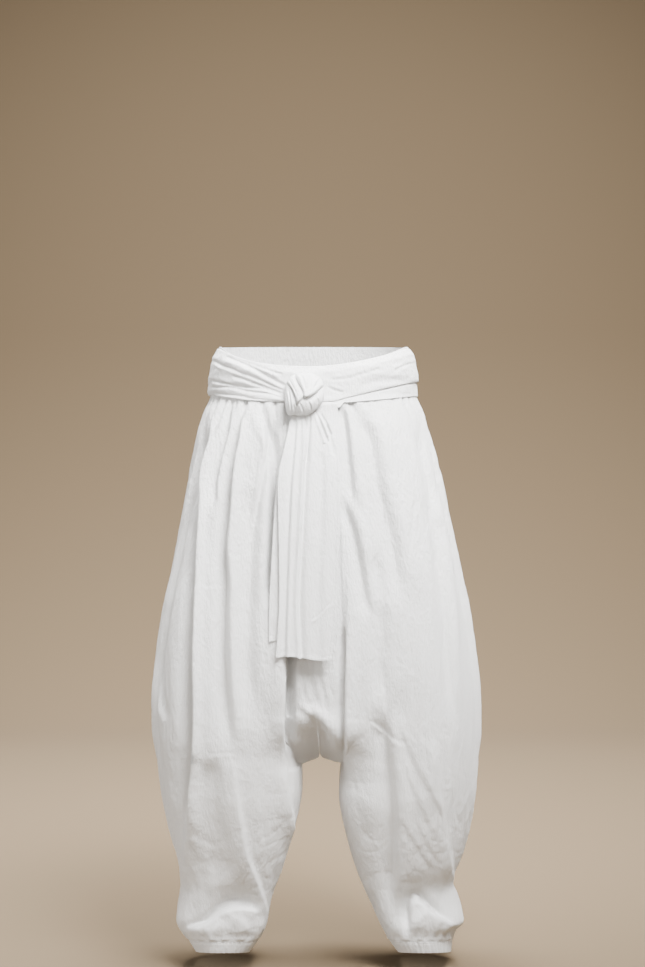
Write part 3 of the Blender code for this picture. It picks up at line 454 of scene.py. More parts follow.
TAIL_CRINKLE = (
    NoiseLayer(0.0004, (0.010, 0.010, 0.030), 1.9),
    NoiseLayer(0.00015, (0.004, 0.004, 0.006), 5.3),
)


def layered_noise(points, layers, height=0.0):
    """A height with layers of noise added to it."""
    for layer in layers:
        height = height + layer.depth * noise(points, layer.scale, layer.shift)
    return height


def seen_from_front(points):
    """Where points appear on the plane of the side seams, as (x, height)."""
    scale = EYE_DISTANCE / (EYE_DISTANCE + points[..., 1])
    x = EYE_X + (points[..., 0] - EYE_X) * scale
    height = EYE_HEIGHT + (points[..., 2] - EYE_HEIGHT) * scale
    return np.stack((x, height), axis=-1)


def rounded_path(path, cuts=6):
    """A smooth curve through a fold's few points."""
    if len(path) < 3:
        return path
    rows = np.linspace(0, len(path) - 1, cuts * (len(path) - 1) + 1)
    return np.column_stack([along_rows(path[:, axis], rows) for axis in range(2)])


def fold_height(places, fold, ends=FOLD_ENDS):
    """How far one fold moves the cloth out at each (x, height) place."""
    path = rounded_path(fold.path)
    leg = np.linalg.norm(np.diff(path, axis=0), axis=1)
    run = np.concatenate(([0.0], np.cumsum(leg))) / leg.sum()
    reach = 4 * max(fold.width_right, fold.width_left) * max(fold.spread, 1.0)
    low = path.min(axis=0) - reach
    high = path.max(axis=0) + reach
    near = np.all((places > low) & (places < high), axis=-1)
    result = np.zeros(places.shape[:-1])
    here = places[near]
    if not len(here):
        return result
    nearest = np.full(len(here), 1e9)
    across = np.zeros(len(here))
    travelled = np.zeros(len(here))
    for start, end, run_start, run_end in zip(path[:-1], path[1:], run[:-1], run[1:]):
        line = end - start
        share = np.clip((here - start) @ line / (line @ line), 0.0, 1.0)
        offset = here - (start + share[:, None] * line)
        distance = np.linalg.norm(offset, axis=1)
        closer = distance < nearest
        left_of_path = line[0] * offset[:, 1] - line[1] * offset[:, 0]
        signed = np.where(left_of_path > 0, distance, -distance)
        nearest = np.where(closer, distance, nearest)
        across = np.where(closer, signed, across)
        travelled = np.where(closer, run_start + share * (run_end - run_start), travelled)
    widen = 1 + (fold.spread - 1) * travelled
    width = np.where(across > 0, fold.width_left, fold.width_right) * widen
    fade = smooth_step(travelled / ends[0]) * smooth_step((1 - travelled) / ends[1])
    trough = np.exp(-(across / width) ** 2)
    steep = min(fold.width_right, fold.width_left)
    steep_side = 1.0 if fold.width_left <= fold.width_right else -1.0
    lip_at = 2.2 * steep * steep_side * widen
    lip = fold.lip * np.exp(-((across - lip_at) / (1.5 * steep * widen)) ** 2)
    result[near] = fold.depth * (trough - lip) * fade
    return result


def panel_gathers(side, face):
    """Gathers of a panel: those of a back follow waves of sines, so that they are uneven."""
    if face == "front":
        return GATHERS[side]
    phase = 1.3 if side == "left" else 0.2
    gathers = []
    for number in range(BACK_GATHERS):
        share = (number + 0.5 + 0.24 * np.sin(2.4 * number + phase)) / BACK_GATHERS
        width = 0.0036 * (1 + 0.2 * np.sin(1.9 * number + phase))
        depth = 0.0038 * (1 + 0.3 * np.sin(1.7 * number + 2 * phase))
        length = 0.110 * (1 + 0.6 * np.sin(3.1 * number + phase))
        gathers.append(Gather(share, width, depth, length))
    return gathers


def gather_height(side, face, shares, grid, widths):
    """Narrow troughs with round ridges between them, below the waist seam."""
    total = np.zeros(grid.shape[:2])
    drop = GATHER_TOP - grid[..., 2]
    grow = smooth_step(drop / 0.018)
    for number, gather in enumerate(panel_gathers(side, face)):
        wander = 0.0022 * np.sin(drop * 45 + 1.7 * number)
        across = (shares[None, :] - gather.share) * widths[:, None] + wander
        widen = 1 + 1.6 * np.clip(drop / gather.length, 0, 1)
        fade = 1 - smooth_step(drop / gather.length)
        trough = np.exp(-(across / (gather.width * widen)) ** 2)
        beside = np.abs(across) - 2.1 * gather.width * widen
        side_lip = np.exp(-(beside / (1.3 * gather.width * widen)) ** 2)
        total += 1.6 * gather.depth * (0.30 * side_lip - trough) * grow * fade
    return total


def wrinkles(grid):
    """Sharp creases with soft flanks that follow the hang of the cloth, bent and uneven."""
    place = grid + np.stack([layered_noise(grid, (layer,)) for layer in WRINKLE_BENDS], axis=-1)
    where = smooth_step(0.5 + 1.2 * noise(grid, (0.11, 0.11, 0.20), 12.4))
    large = 1 - np.abs(noise(place, (0.034, 0.034, 0.230), 9.1)) * 2.2
    small = 1 - np.abs(noise(place, (0.016, 0.016, 0.090), 4.7)) * 2.2
    cross = place.copy()
    cross[..., 2] = place[..., 2] + 0.45 * np.abs(place[..., 0])
    slant = 1 - np.abs(noise(cross, (0.060, 0.060, 0.030), 6.6)) * 2.6
    low = smooth_step((-0.40 - grid[..., 2]) / 0.25)
    return (
        -0.0013 * np.clip(large, 0, 1) ** 3 * (0.3 + 0.7 * where) * (1 - 0.5 * low)
        - 0.0006 * np.clip(small, 0, 1) ** 3 * where
        - 0.0006 * np.clip(slant, 0, 1) ** 4 * where * low
    )


def leg_panel_grid(side, face):
    """The outer and inner skins of one leg panel, as fine grids."""
    top = section_value("height", PANEL_TOP_ROW)
    low = section_value("height", HEM_SEAM_ROW)
    share_down = np.linspace(0, 1, PANEL_ROWS + 1)
    share_down = share_down * (1 + ROW_CROWDING * (1 - share_down))
    rows = rows_at_heights(top + (low - top) * share_down)
    rows[0] = PANEL_TOP_ROW
    rows[-1] = HEM_SEAM_ROW
    shares = np.linspace(0, 1, PANEL_COLUMNS[face] + 1)
    grid = soften(section_grid(side, face, rows, shares), 2, 0)
    widths = np.linalg.norm(np.diff(grid, axis=1), axis=2).sum(axis=1)
    flip = (side == "left") != (face == "front")
    normals = grid_normals(grid, flip)
    places = seen_from_front(grid)
    facing = smooth_step(np.abs(normals[..., 1]) / 0.40)
    sideways = smooth_step((np.abs(normals[..., 0]) - 0.45) / 0.35)
    outward = sideways * (grid[..., 0] * (1 if side == "left" else -1) > 0.12)

    height = np.zeros(grid.shape[:2])
    for fold in (FRONT_FOLDS if face == "front" else BACK_FOLDS):
        ends = RIDGE_ENDS if fold.name.endswith("ridge") else FOLD_ENDS
        strength = TROUGH_STRENGTH if fold.depth < 0 else RIDGE_STRENGTH
        height += strength * fold_height(places, fold, ends) * facing
    for fold in BREAK_FOLDS[side]:
        height += BREAK_STRENGTH[face] * fold_height(places, fold, BREAK_ENDS) * facing
    for fold in SIDE_FOLDS:
        height += fold_height(grid[..., 1:3], fold) * outward
    height += gather_height(side, face, shares, grid, widths)
    height += layered_noise(grid, LEG_CRINKLE) + wrinkles(grid)

    # The cloth puckers and rolls where the cuff takes it in, and ends flush with both seams
    drop_to_hem = grid[..., 2] - grid[-1:, :, 2]
    cuff_pucker = 0.0011 * np.sin(2 * pi * shares * 9 + 1.5 * np.sin(shares * 11))[None, :]
    height += cuff_pucker * (1 - smooth_step(drop_to_hem / 0.022)) * smooth_step(drop_to_hem / 0.004)
    height += 0.0008 * np.exp(-((drop_to_hem - 0.0040) / 0.0026) ** 2)
    height *= smooth_step((rows[:, None] - PANEL_TOP_ROW) / 1.2) * smooth_step(drop_to_hem / 0.006)

    # Under the sash there is no room to rise
    room = 0.6 * np.maximum(-0.056 - grid[..., 2], 0.0) + 0.0002
    height = np.minimum(height, room)
    outer = grid + normals * height[..., None]
    inner = outer - (0.5 * normals + 0.5 * grid_normals(outer, flip)) * CLOTH
    return outer, inner


def strip_faces(upper, lower):
    """Faces between two rows of vertex numbers, where one row may have half the columns."""
    faces = []
    if len(upper) == len(lower):
        return list(zip(upper[:-1], lower[:-1], lower[1:], upper[1:]))
    if len(upper) < len(lower):
        return [face[::-1] for face in strip_faces(lower, upper)]
    for column in range(len(lower) - 1):
        left, middle, right = upper[2 * column:2 * column + 3]
        faces.append((left, lower[column], middle))
        faces.append((middle, lower[column], lower[column + 1]))
        faces.append((middle, lower[column + 1], right))
    return faces


def make_object(name, points, faces, material, sharp=1.1):
    mesh = bpy.data.meshes.new(name)
    mesh.from_pydata([tuple(point) for point in points], [], [tuple(int(v) for v in face) for face in faces])
    mesh.validate()
    mesh.update()
    mesh.shade_smooth()
    mesh.set_sharp_from_angle(angle=sharp)
    thing = bpy.data.objects.new(name, mesh)
    bpy.context.scene.collection.objects.link(thing)
    mesh.materials.append(material)
    return thing


def number_table(grid, first, closed):
    """Vertex numbers of a grid, with its first column again at the end where it is closed."""
    table = first + np.arange(grid.shape[0] * grid.shape[1]).reshape(grid.shape[:2])
    return np.hstack((table, table[:, :1])) if closed else table


def skin_faces(table, turned=False):
    """Faces of one skin from its vertex numbers."""
    faces = []
    for upper, lower in zip(table[:-1], table[1:]):
        faces += strip_faces(upper, lower)
    return [face[::-1] for face in faces] if turned else faces


def shell_mesh(outer, inner, closed):
    """Points and faces of a thin solid between two grids, the inner one at half detail."""
    inner = inner[::2, ::2]
    points = np.vstack((outer.reshape(-1, 3), inner.reshape(-1, 3)))
    out = number_table(outer, 0, closed)
    into = number_table(inner, outer.shape[0] * outer.shape[1], closed)
    faces = skin_faces(out) + skin_faces(into, turned=True)
    faces += strip_faces(into[0], out[0])
    faces += strip_faces(out[-1], into[-1])
    if not closed:
        faces += strip_faces(out[:, 0], into[:, 0])
        faces += strip_faces(into[:, -1], out[:, -1])
    return points, faces


def close_normals(thing):
    """Turns every face outward."""
    body = bmesh.new()
    body.from_mesh(thing.data)
    bmesh.ops.recalc_face_normals(body, faces=body.faces)
    if body.calc_volume(signed=True) < 0:
        bmesh.ops.reverse_faces(body, faces=body.faces)
    body.to_mesh(thing.data)
    body.free()


def join_part(thing, node):
    """Finishes a piece and lets it stand for a node."""
    close_normals(thing)
    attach(thing, "root")
    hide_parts(node)
    return thing


def add_shell(name, outer, inner, material, node, closed=False):
    points, faces = shell_mesh(outer, inner, closed)
    return join_part(make_object(name, points, faces, material), node)


# The ring round the waist: turn 0 is the centre front, 1 the left side, 2 the back
RING_LEVELS = 90
RING_LAST_ROW = 4.4
RING_TURNS = np.arange(RING_COLUMNS) * 4 / RING_COLUMNS
RING_REACH = 3
RIM_LEVEL = int(RING_LEVELS / RING_LAST_ROW)


def rounded_ring(ring):
    """Closed rings of points with their seams smoothed, and their level normals."""
    offsets = np.arange(-3 * RING_REACH, 3 * RING_REACH + 1)
    weights = np.exp(-0.5 * (offsets / RING_REACH) ** 2)
    weights /= weights.sum()
    ring = sum(weight * np.roll(ring, shift, axis=1) for shift, weight in zip(offsets, weights))
    along = np.roll(ring, -1, axis=1) - np.roll(ring, 1, axis=1)
    normal = np.stack((along[..., 1], -along[..., 0], np.zeros(ring.shape[:2])), axis=2)
    return ring, normal / np.linalg.norm(normal, axis=2, keepdims=True)


def ring_table():
    """The ring at levels from the rim to below the waist seam: its heights, points and normals."""
    rows = np.linspace(0, RING_LAST_ROW, RING_LEVELS)
    quarter = RING_COLUMNS // 4
    part = np.arange(quarter) / quarter
    grid, normal = rounded_ring(np.hstack((
        section_grid("left", "front", rows, part),
        section_grid("left", "back", rows, 1 - part),
        section_grid("right", "back", rows, part),
        section_grid("right", "front", rows, 1 - part),
    )))
    return section_value("height", rows), grid, normal


RING_HEIGHTS, RING_GRID, RING_NORMALS = ring_table()
RIM_X = RING_GRID[RIM_LEVEL, :, 0]
RIM_Y = RING_GRID[RIM_LEVEL, :, 1]


def ring_points(heights, reach, columns):
    """Points round the waist, at heights and reaches out given as (rows, columns)."""
    level = np.interp(-heights, -RING_HEIGHTS, np.arange(RING_LEVELS))
    low = np.clip(level.astype(int), 0, RING_LEVELS - 2)
    part = (level - low)[..., None]
    column = np.broadcast_to(columns, heights.shape)
    point = RING_GRID[low, column] * (1 - part) + RING_GRID[low + 1, column] * part
    normal = RING_NORMALS[low, column] * (1 - part) + RING_NORMALS[low + 1, column] * part
    return point + normal * reach[..., None]


# The sash's edges round the waist
SASH_HALF = 0.163
SASH_LOW = (-0.0560, -0.0405, -0.0440)
SASH_TOP = (0.0025, 0.0370, 0.0430)
RIM = (RIM_FRONT, RIM_SIDE, RIM_BACK)
DIP_POWER_RIGHT = 2.7
DIP_POWER_LEFT = 1.75
UNDER_START = 0.14
UNDER_END = 1.86
UNDER_CLIMB = 0.0215
UNDER_VISIBLE = 0.045
SASH_SEAT = 0.0009

# How thick and full the sash is, and the tab that hangs from its lower layer
SASH_WALL = 0.0010
SASH_SWELL = 0.0048
UNDER_SWELL = 0.0014
UNDER_MARGIN = 0.035
TAB_DROP = 0.0080
TAB_STAND_OFF = 0.0034
SASH_RIDGES = 6


def edge_heights(edge):
    """An edge round the waist for every column, from its front, side and back heights."""
    front, side, back = edge
    power = np.where(RIM_X > 0, DIP_POWER_LEFT, DIP_POWER_RIGHT)
    out = np.minimum(np.abs(RIM_X) / SASH_HALF, 1.0)
    behind = (RING_TURNS >= 1) & (RING_TURNS <= 3)
    backward = np.clip(RIM_Y / RIM_Y.max(), 0.0, 1.0)
    return np.where(behind, side + (back - side) * backward, side + (front - side) * (1 - out ** power))


def upper_sash_low():
    """The lower edge of the upper wrap, which climbs over the lower layer on the left."""
    climb = np.sin(pi * np.clip((RING_TURNS - UNDER_START) / (UNDER_END - UNDER_START), 0, 1))
    return edge_heights(SASH_LOW) + UNDER_CLIMB * climb ** 0.8


# Lengthwise folds of the sash as seen from the front
SASH_PATHS = fold_table(
    ("groove_1", 2.6, 3.4, -3.4, 0.35, 1.1, ((-148, 27.5), (-129.7, 20.2), (-102, 7.5), (-82.8, -3.2),
     (-63.7, -14.8), (-45, -25.8))),
    ("groove_2", 2, 2.6, -2.2, 0.35, 1.1, ((-166, 21.5), (-148, 11), (-120, -1), (-92, -12), (-70, -22.5),
     (-47, -32.5))),
    ("groove_3", 2.2, 2.8, -2.6, 0.35, 1.1, ((-132.5, -6.8), (-112, -13), (-94.2, -20.2), (-70, -29),
     (-49, -37))),
    ("groove_4", 2, 2.6, -2.4, 0.35, 1.1, ((-172.5, -12.7), (-146.7, -19.2), (-114.8, -25.5),
     (-82.8, -28.7), (-48, -40.2))),
    ("groove_5", 2, 2.4, -2.4, 0.35, 1.1, ((-173.2, -25.5), (-136, -26), (-104.2, -33), (-72.5, -37.2),
     (-48, -45.5))),
    ("groove_6", 1.8, 2.2, -2, 0.35, 1.1, ((-167.8, -35.2), (-123.3, -40.3), (-100.8, -45.2), (-76, -48),
     (-50, -51))),
    ("top_roll", 2, 2.6, -1.8, 0.35, 1.1, ((-140, 33), (-115, 19), (-85, 7), (-50, -6))),
    ("bright_1", 2.2, 2.2, -0.9, 0.5, 1, ((128, 0.7), (148.2, 10.7), (166, 15.2))),
    ("bright_2", 6, 6, -1.3, 0.4, 1, ((73.3, -23.8), (111.3, -16), (155.8, -11.5))),
    ("bright_3", 2.4, 2.4, -1.2, 0.5, 1, ((23, -25.5), (35, -31), (50, -35))),
    ("bright_4", 3, 3, -0.9, 0.5, 1, ((23, -12), (45, -13), (80, -4), (110, 6))),
)


def sash_ridges(share, turns):
    """Lengthwise folds that run round the sides and the back of the sash."""
    total = np.zeros(turns.shape)
    behind = smooth_step((turns - 0.95) / 0.30) * smooth_step((3.10 - turns) / 0.30)
    for number in range(SASH_RIDGES):
        start = (number + 0.6) / 6.4
        place = start + 0.035 * np.sin(turns * 2.2 + 1.9 * number) + 0.012 * np.sin(turns * 7.1 + number)
        strength = 0.55 + 0.45 * np.sin(turns * 1.7 + 2.6 * number)
        total -= 0.0026 * strength * np.exp(-((share - place) / 0.030) ** 2)
        total += 0.0008 * strength * np.exp(-((share - place - 0.075) / 0.035) ** 2)
    return total * behind


def sash_band(name, top, low, columns, rows, swell, material):
    """One layer of the wound sash between two edges, with its lengthwise folds."""
    share = np.linspace(0, 1, rows)[:, None]
    heights = top[columns][None, :] + (low[columns] - top[columns])[None, :] * share
    base = ring_points(heights, np.zeros(heights.shape), columns)
    folds = np.zeros(heights.shape)
    if name == "sash_upper":
        places = seen_from_front(base)
        facing = (base[..., 1] < 0) * smooth_step((0.168 - np.abs(base[..., 0])) / 0.02)
        for fold in SASH_PATHS:
            folds += fold_height(places, fold, SASH_FOLD_ENDS) * facing
        folds += sash_ridges(share, np.broadcast_to(RING_TURNS[columns], heights.shape))
    folds = layered_noise(base, SASH_CRINKLE, folds)
    rounding = np.sqrt(np.clip(1 - np.abs(2 * share - 1) ** 12, 0, 1))
    full = 0.25 + 0.75 * smooth_step(share / 0.20)
    folds = np.clip(1.35 * folds, -swell * 0.95, 0.0026)
    reach = SASH_SEAT + SASH_WALL + (swell + folds) * rounding * full
    seat = np.full(heights.shape, SASH_SEAT)
    if name == "sash_lower":
        stand_off = TAB_STAND_OFF * smooth_step((-0.0540 - heights) / 0.0050)
        reach = reach + stand_off
        seat = seat + stand_off
    outer = ring_points(heights, reach, columns)
    inner = ring_points(heights, seat, columns)
    closed = len(columns) == RING_COLUMNS
    return add_shell(name, outer, inner, material, name + "_wrap", closed)


def make_sash(material):
    """The upper wrap all round, and the lower layer that shows under it, with its tab."""
    every = np.arange(RING_COLUMNS)
    upper = sash_band("sash_upper", edge_heights(SASH_TOP), upper_sash_low(), every, 65, SASH_SWELL, material)
    step = RING_COLUMNS / 4
    under = np.arange(round(UNDER_VISIBLE * step), round((UNDER_END - UNDER_MARGIN) * step) + 1)
    if len(under) % 2 == 0:
        under = under[:-1]
    tab = smooth_step((RIM_X - 0.006) / 0.010) * smooth_step((0.046 - RIM_X) / 0.008) * (RING_TURNS < 1)
    under_low = edge_heights(SASH_LOW) - 0.002 - TAB_DROP * tab
    lower = sash_band("sash_lower", upper_sash_low() + 0.0006, under_low, under, 25, UNDER_SWELL, material)
    return upper, lower


def make_waistband(material):
    """The band from the rim down to the waist seam."""
    every = np.arange(RING_COLUMNS)
    share = np.linspace(0, 1, BAND_ROWS)[:, None]
    top = edge_heights(RIM)[None, :]
    low = section_value("height", PANEL_TOP_ROW) + 2 * HALF_GAP
    heights = top + (low - top) * share
    base = ring_points(heights, np.zeros(heights.shape), every)
    pucker = layered_noise(base, BAND_CRINKLE)
    outer = ring_points(heights, np.clip(pucker, -0.0006, 0.0006), every)
    inner = ring_points(heights, pucker - CLOTH, every)
    return add_shell("waistband_cloth", outer, inner, material, "waistband", closed=True)


# The knot: its outline and the layers that cross in it, with outlines as (x, height)
KNOT_CENTRE = (-0.0129, -0.0435)
KNOT_OUTLINE = metres((
    (18.2, -43), (17.2, -29), (11, -16.5), (-1, -10), (-15, -9.2), (-29, -11), (-39.5, -19), (-44, -33),
    (-44.7, -50), (-44, -64), (-41.2, -74.5), (-36.5, -77.8), (-31, -76.8), (-21, -78), (-8.5, -76.8),
    (1, -71.5), (9, -64), (15.5, -54.5),
))
KNOT_BACK = -0.1263
KNOT_TAIL_ROOM = 0.0167
KNOT_DOME = 0.0165
KNOT_EDGE = 0.0030
KNOT_COLUMNS = 288
KNOT_RINGS = 84
KNOT_RING_STRIDE = 12
KNOT_TIP = 0.012
KNOT_CREASE_STRENGTH = 1.5

# Where the tails start to pass behind the knot, and over what height
KNOT_BACK_STEP = (-0.047, 0.012)
KNOT_FRONT_STEP = (-0.016, 0.046)

# How far each layer stands out, over what width it rises to that, and its outline, in mm
Layer = namedtuple("Layer", "name level width outline")
KNOT_LAYERS = tuple(Layer(name, *metres(sizes), metres(outline)) for name, *sizes, outline in (
    ("lobe", 9, 8, ((-52, -18), (-42.5, -26.2), (-35, -36.2), (-29.5, -48.5), (-26.4, -60), (-29, -72),
     (-34, -82), (-46, -80), (-52, -55))),
    ("under", 3.6, 8, ((-16, -50.5), (-5, -50.5), (5, -44.5), (19, -31), (23, -45), (22, -68), (10, -82),
     (-12, -84), (-28, -80), (-27.2, -64), (-24, -56))),
    ("petal", 13.2, 5, ((-28, -8), (-15, 0), (8, -3), (22, -13), (23, -24), (18, -29.5), (11.8, -35.7),
     (4, -43.5), (-5.2, -49.5), (-14.4, -50), (-17.4, -37.2), (-23.6, -26.2))),
    ("band", 14.2, 4, ((-54, -8), (-49.5, -18), (-42.5, -25.6), (-34.6, -35.7), (-29.1, -47.5),
     (-25.6, -58), (-20, -56), (-15.4, -47), (-18.4, -37.3), (-24.6, -26.5), (-30.5, -15), (-33, 0))),
))
KNOT_CREASES = fold_table(
    ("band_line_1", 1, 1.2, -1.6, 0.4, 1, ((-44, -12), (-36.5, -24), (-29, -38), (-23, -52))),
    ("band_line_2", 1, 1, -1, 0.4, 1, ((-37, -10), (-30, -22), (-24, -35))),
    ("petal_line_1", 1.4, 1.8, -1.8, 0.4, 1, ((-20, -12), (-15, -24), (-12, -40))),
    ("petal_line_2", 1.6, 2, -1.4, 0.4, 1, ((-6, -10), (-4, -22), (-6, -38))),
    ("petal_line_3", 1.6, 1.8, -1.4, 0.4, 1, ((13, -14), (8, -25), (0, -36))),
    ("lobe_line_1", 1.4, 1.2, -2.6, 0.4, 1, ((-40, -33), (-37, -48), (-35, -64), (-33, -76))),
    ("lobe_line_2", 1, 1, -1.4, 0.4, 1, ((-43, -40), (-41, -54), (-39, -68))),
    ("lobe_line_3", 1, 1, -1.4, 0.4, 1, ((-33, -44), (-31, -58), (-30, -73))),
    ("under_line_1", 1.2, 1.4, -1.8, 0.4, 1, ((-21, -58), (-17, -68), (-14, -78))),
    ("under_line_2", 1.4, 1.4, -1.6, 0.4, 1, ((-8, -53), (-4, -65), (-2, -77))),
    ("under_line_3", 1.4, 1.4, -1.6, 0.4, 1, ((6, -48), (8, -58), (7, -72))),
)


def closed_curve(corners, steps):
    """A smooth closed curve through corners, at corner numbers with decimals."""
    ringed = np.vstack((corners[-1:], corners, corners[:2]))
    return np.column_stack([along_rows(ringed[:, axis], steps + 1) for axis in range(2)])


def inside_distance(places, corners):
    """How deep inside a closed outline each place is, and 0 outside it."""
    smooth = closed_curve(corners, np.linspace(0, len(corners), 5 * len(corners) + 1))
    nearest = np.full(places.shape[:-1], 1e9)
    inside = np.zeros(places.shape[:-1], dtype=bool)
    for start, end in zip(smooth[:-1], smooth[1:]):
        line = end - start
        share = np.clip(((places - start) @ line) / (line @ line), 0, 1)
        gap = places - (start + share[..., None] * line)
        nearest = np.minimum(nearest, np.hypot(gap[..., 0], gap[..., 1]))
        crosses = (start[1] > places[..., 1]) != (end[1] > places[..., 1])
        safe = end[1] - start[1] if end[1] != start[1] else 1e-12
        at = start[0] + (places[..., 1] - start[1]) / safe * line[0]
        inside ^= crosses & (places[..., 0] < at)
    return np.where(inside, nearest, 0.0)


def knot_plane(height, start, span):
    """The Y that the knot stands on, further out where the tails pass behind it."""
    return KNOT_BACK - KNOT_TAIL_ROOM * smooth_step((start - height) / span)


def make_knot(material):
    """The knot's face over its back, both as rings that shrink to a tip."""
    steps = np.arange(KNOT_COLUMNS) * len(KNOT_OUTLINE) / KNOT_COLUMNS
    outline = closed_curve(KNOT_OUTLINE, steps) - KNOT_CENTRE
    shares = np.sin(pi / 2 * np.linspace(1, KNOT_TIP, KNOT_RINGS))
    places = np.array(KNOT_CENTRE) + outline[None, :, :] * shares[:, None, None]
    x, height = places[..., 0], places[..., 1]
    dome = np.sqrt(np.clip(1 - shares ** 2.6, 0, 1))[:, None]
    relief = np.zeros(x.shape)
    for layer in KNOT_LAYERS:
        depth = np.clip(inside_distance(places, layer.outline) / layer.width, 0, 1)
        relief = np.maximum(relief, layer.level * np.sqrt(1 - (1 - depth) ** 2))
    for fold in KNOT_CREASES:
        relief += KNOT_CREASE_STRENGTH * fold_height(places, fold, BREAK_ENDS)
    relief += layered_noise(np.stack((x, np.zeros(x.shape), height), axis=2), KNOT_CRINKLE)
    out = KNOT_EDGE + KNOT_DOME * dome + relief * (0.30 + 0.70 * dome)
    front = np.stack((x, knot_plane(height, *KNOT_FRONT_STEP) - out, height), axis=2)
    back = np.stack((x, knot_plane(height, *KNOT_BACK_STEP), height), axis=2)[::KNOT_RING_STRIDE]
    tips = (front[-1:].mean(axis=1), back[-1:].mean(axis=1))
    points = np.vstack((front.reshape(-1, 3), back.reshape(-1, 3)) + tips)

    out_rings = number_table(front, 0, closed=True)
    back_rings = number_table(back, KNOT_RINGS * KNOT_COLUMNS, closed=True)
    faces = skin_faces(out_rings) + skin_faces(back_rings, turned=True)
    faces += strip_faces(back_rings[0], out_rings[0])
    front_tip, back_tip = len(points) - 2, len(points) - 1
    for column in range(KNOT_COLUMNS):
        faces.append((out_rings[-1][column], front_tip, out_rings[-1][column + 1]))
        faces.append((back_rings[-1][column + 1], back_tip, back_rings[-1][column]))
    thing = make_object("sash_knot_cloth", points, faces, material, sharp=1.6)
    return join_part(thing, "sash_knot")


# The hanging tails: height, right edge, left edge and the Y that the cloth hangs at, in mm
FRONT_TAIL = metres((
    (-60.5, -33, 38, -140),
    (-78, -34, 40, -142.5),
    (-128, -45, 42, -158),
    (-180, -55, 43.5, -168),
    (-264, -54, 42, -174),
    (-370, -53, 39, -175),
    (-434, -56.5, 32.5, -174.5),
    (-462, -58.5, 29, -174),
))
BACK_TAIL = metres((
    (-60.5, -34, 20, -137.9),
    (-78, -36, 22, -140.2),
    (-128, -45, 22, -150),
    (-180, -57, 20, -160),
    (-284, -64, 16, -166.2),
    (-380, -69, 10, -167.2),
    (-437, -69.5, 4, -167),
))
TAIL_FOLDS = fold_table(
    ("tail_left_pleat", 6, 2, -3, 0.4, 1.2, ((-28, -66), (-32, -120), (-38, -190), (-43, -300), (-48, -462),
     (-49, -510))),
    ("tail_middle_pleat", 2, 5.5, -4.2, 0.5, 1.2, ((-13, -66), (-12, -126), (-15, -190), (-20, -300),
     (-24, -380), (-20.5, -470), (-20, -515))),
    ("tail_second_pleat", 1.6, 2.6, -3.2, 0.5, 1, ((-6, -66), (-8, -110), (-12, -150))),
    ("tail_ray_1", 1.8, 2.4, -4, 0.5, 1.2, ((2, -62), (12, -85), (24, -118))),
    ("tail_ray_2", 1.6, 2.2, -3.2, 0.5, 1.2, ((6, -62), (18, -82), (29, -106))),
    ("tail_ray_3", 2.2, 2.6, -1.4, 0.5, 1.2, ((12, -66), (26, -100), (34, -140))),
    ("tail_soft", 9, 5, -1.6, 0.4, 1.4, ((14, -130), (13, -240), (9, -360), (8, -500))),
    ("tail_pressed", 1.6, 2, -0.5, 0.8, 1, ((-4, -414), (12, -402), (28, -384))),
)

# The cloth of the tails and their hems, in metres
TAIL_FOLD_STRENGTH = 1.3
TAIL_WALL = 0.0011
HEM_DEPTH = 0.0055
SELVEDGE = 0.0040


def make_tail(face, table, folds, material, columns, rows):
    """One hanging tail, with its pleats, a turned hem and thicker edges."""
    row_numbers = np.linspace(0, len(table) - 1, rows)
    height, right_edge, left_edge, hang_y = (
        along_rows(column, row_numbers)[:, None] for column in table.T
    )
    share = np.linspace(0, 1, columns)[None, :]
    width = left_edge - right_edge
    x = right_edge + width * share
    y = np.broadcast_to(hang_y, x.shape)
    z = np.broadcast_to(height, x.shape).copy()
    drop = smooth_step((-0.30 - z) / 0.16)
    z += drop * (0.0032 * np.sin(share * 5.2 + 0.4) - 0.0020 * np.exp(-((share - 0.43) / 0.03) ** 2))
    grid = np.stack((x, y, z), axis=2)
    places = seen_from_front(grid)
    out = np.zeros(x.shape)
    for fold in folds:
        out += TAIL_FOLD_STRENGTH * fold_height(places, fold, TAIL_FOLD_ENDS)
    out += layered_noise(grid, (TAIL_HANG,)) * smooth_step((-0.08 - z) / 0.08)
    out = layered_noise(grid, TAIL_CRINKLE, out)
    out *= smooth_step((-0.066 - z) / 0.030)
    from_hem = height - height[-1]
    out += 0.0006 * (1 - smooth_step((from_hem - HEM_DEPTH + 0.0006) / 0.0010))
    out -= 0.0005 * np.exp(-((from_hem - HEM_DEPTH + 0.0012) / 0.0006) ** 2)
    edge = np.minimum(share, 1 - share) * width
    out += 0.0004 * (1 - smooth_step((edge - SELVEDGE) / 0.0008))
    outer = grid.copy()
    outer[..., 1] -= out
    inner = outer.copy()
    inner[..., 1] += TAIL_WALL
    name = "sash_tail_" + face
    return add_shell(name + "_cloth", outer, inner, material, name)


# The ankle bands and their stitches
CUFF_ROWS = 21
CUFF_COLUMNS = 320
STITCH_ROWS = (3, 17)
STITCH_LENGTH = 0.0026
STITCH_GAP = 0.0009
STITCH_SIZE = 0.00022
STITCH_ROOT = 0.0003


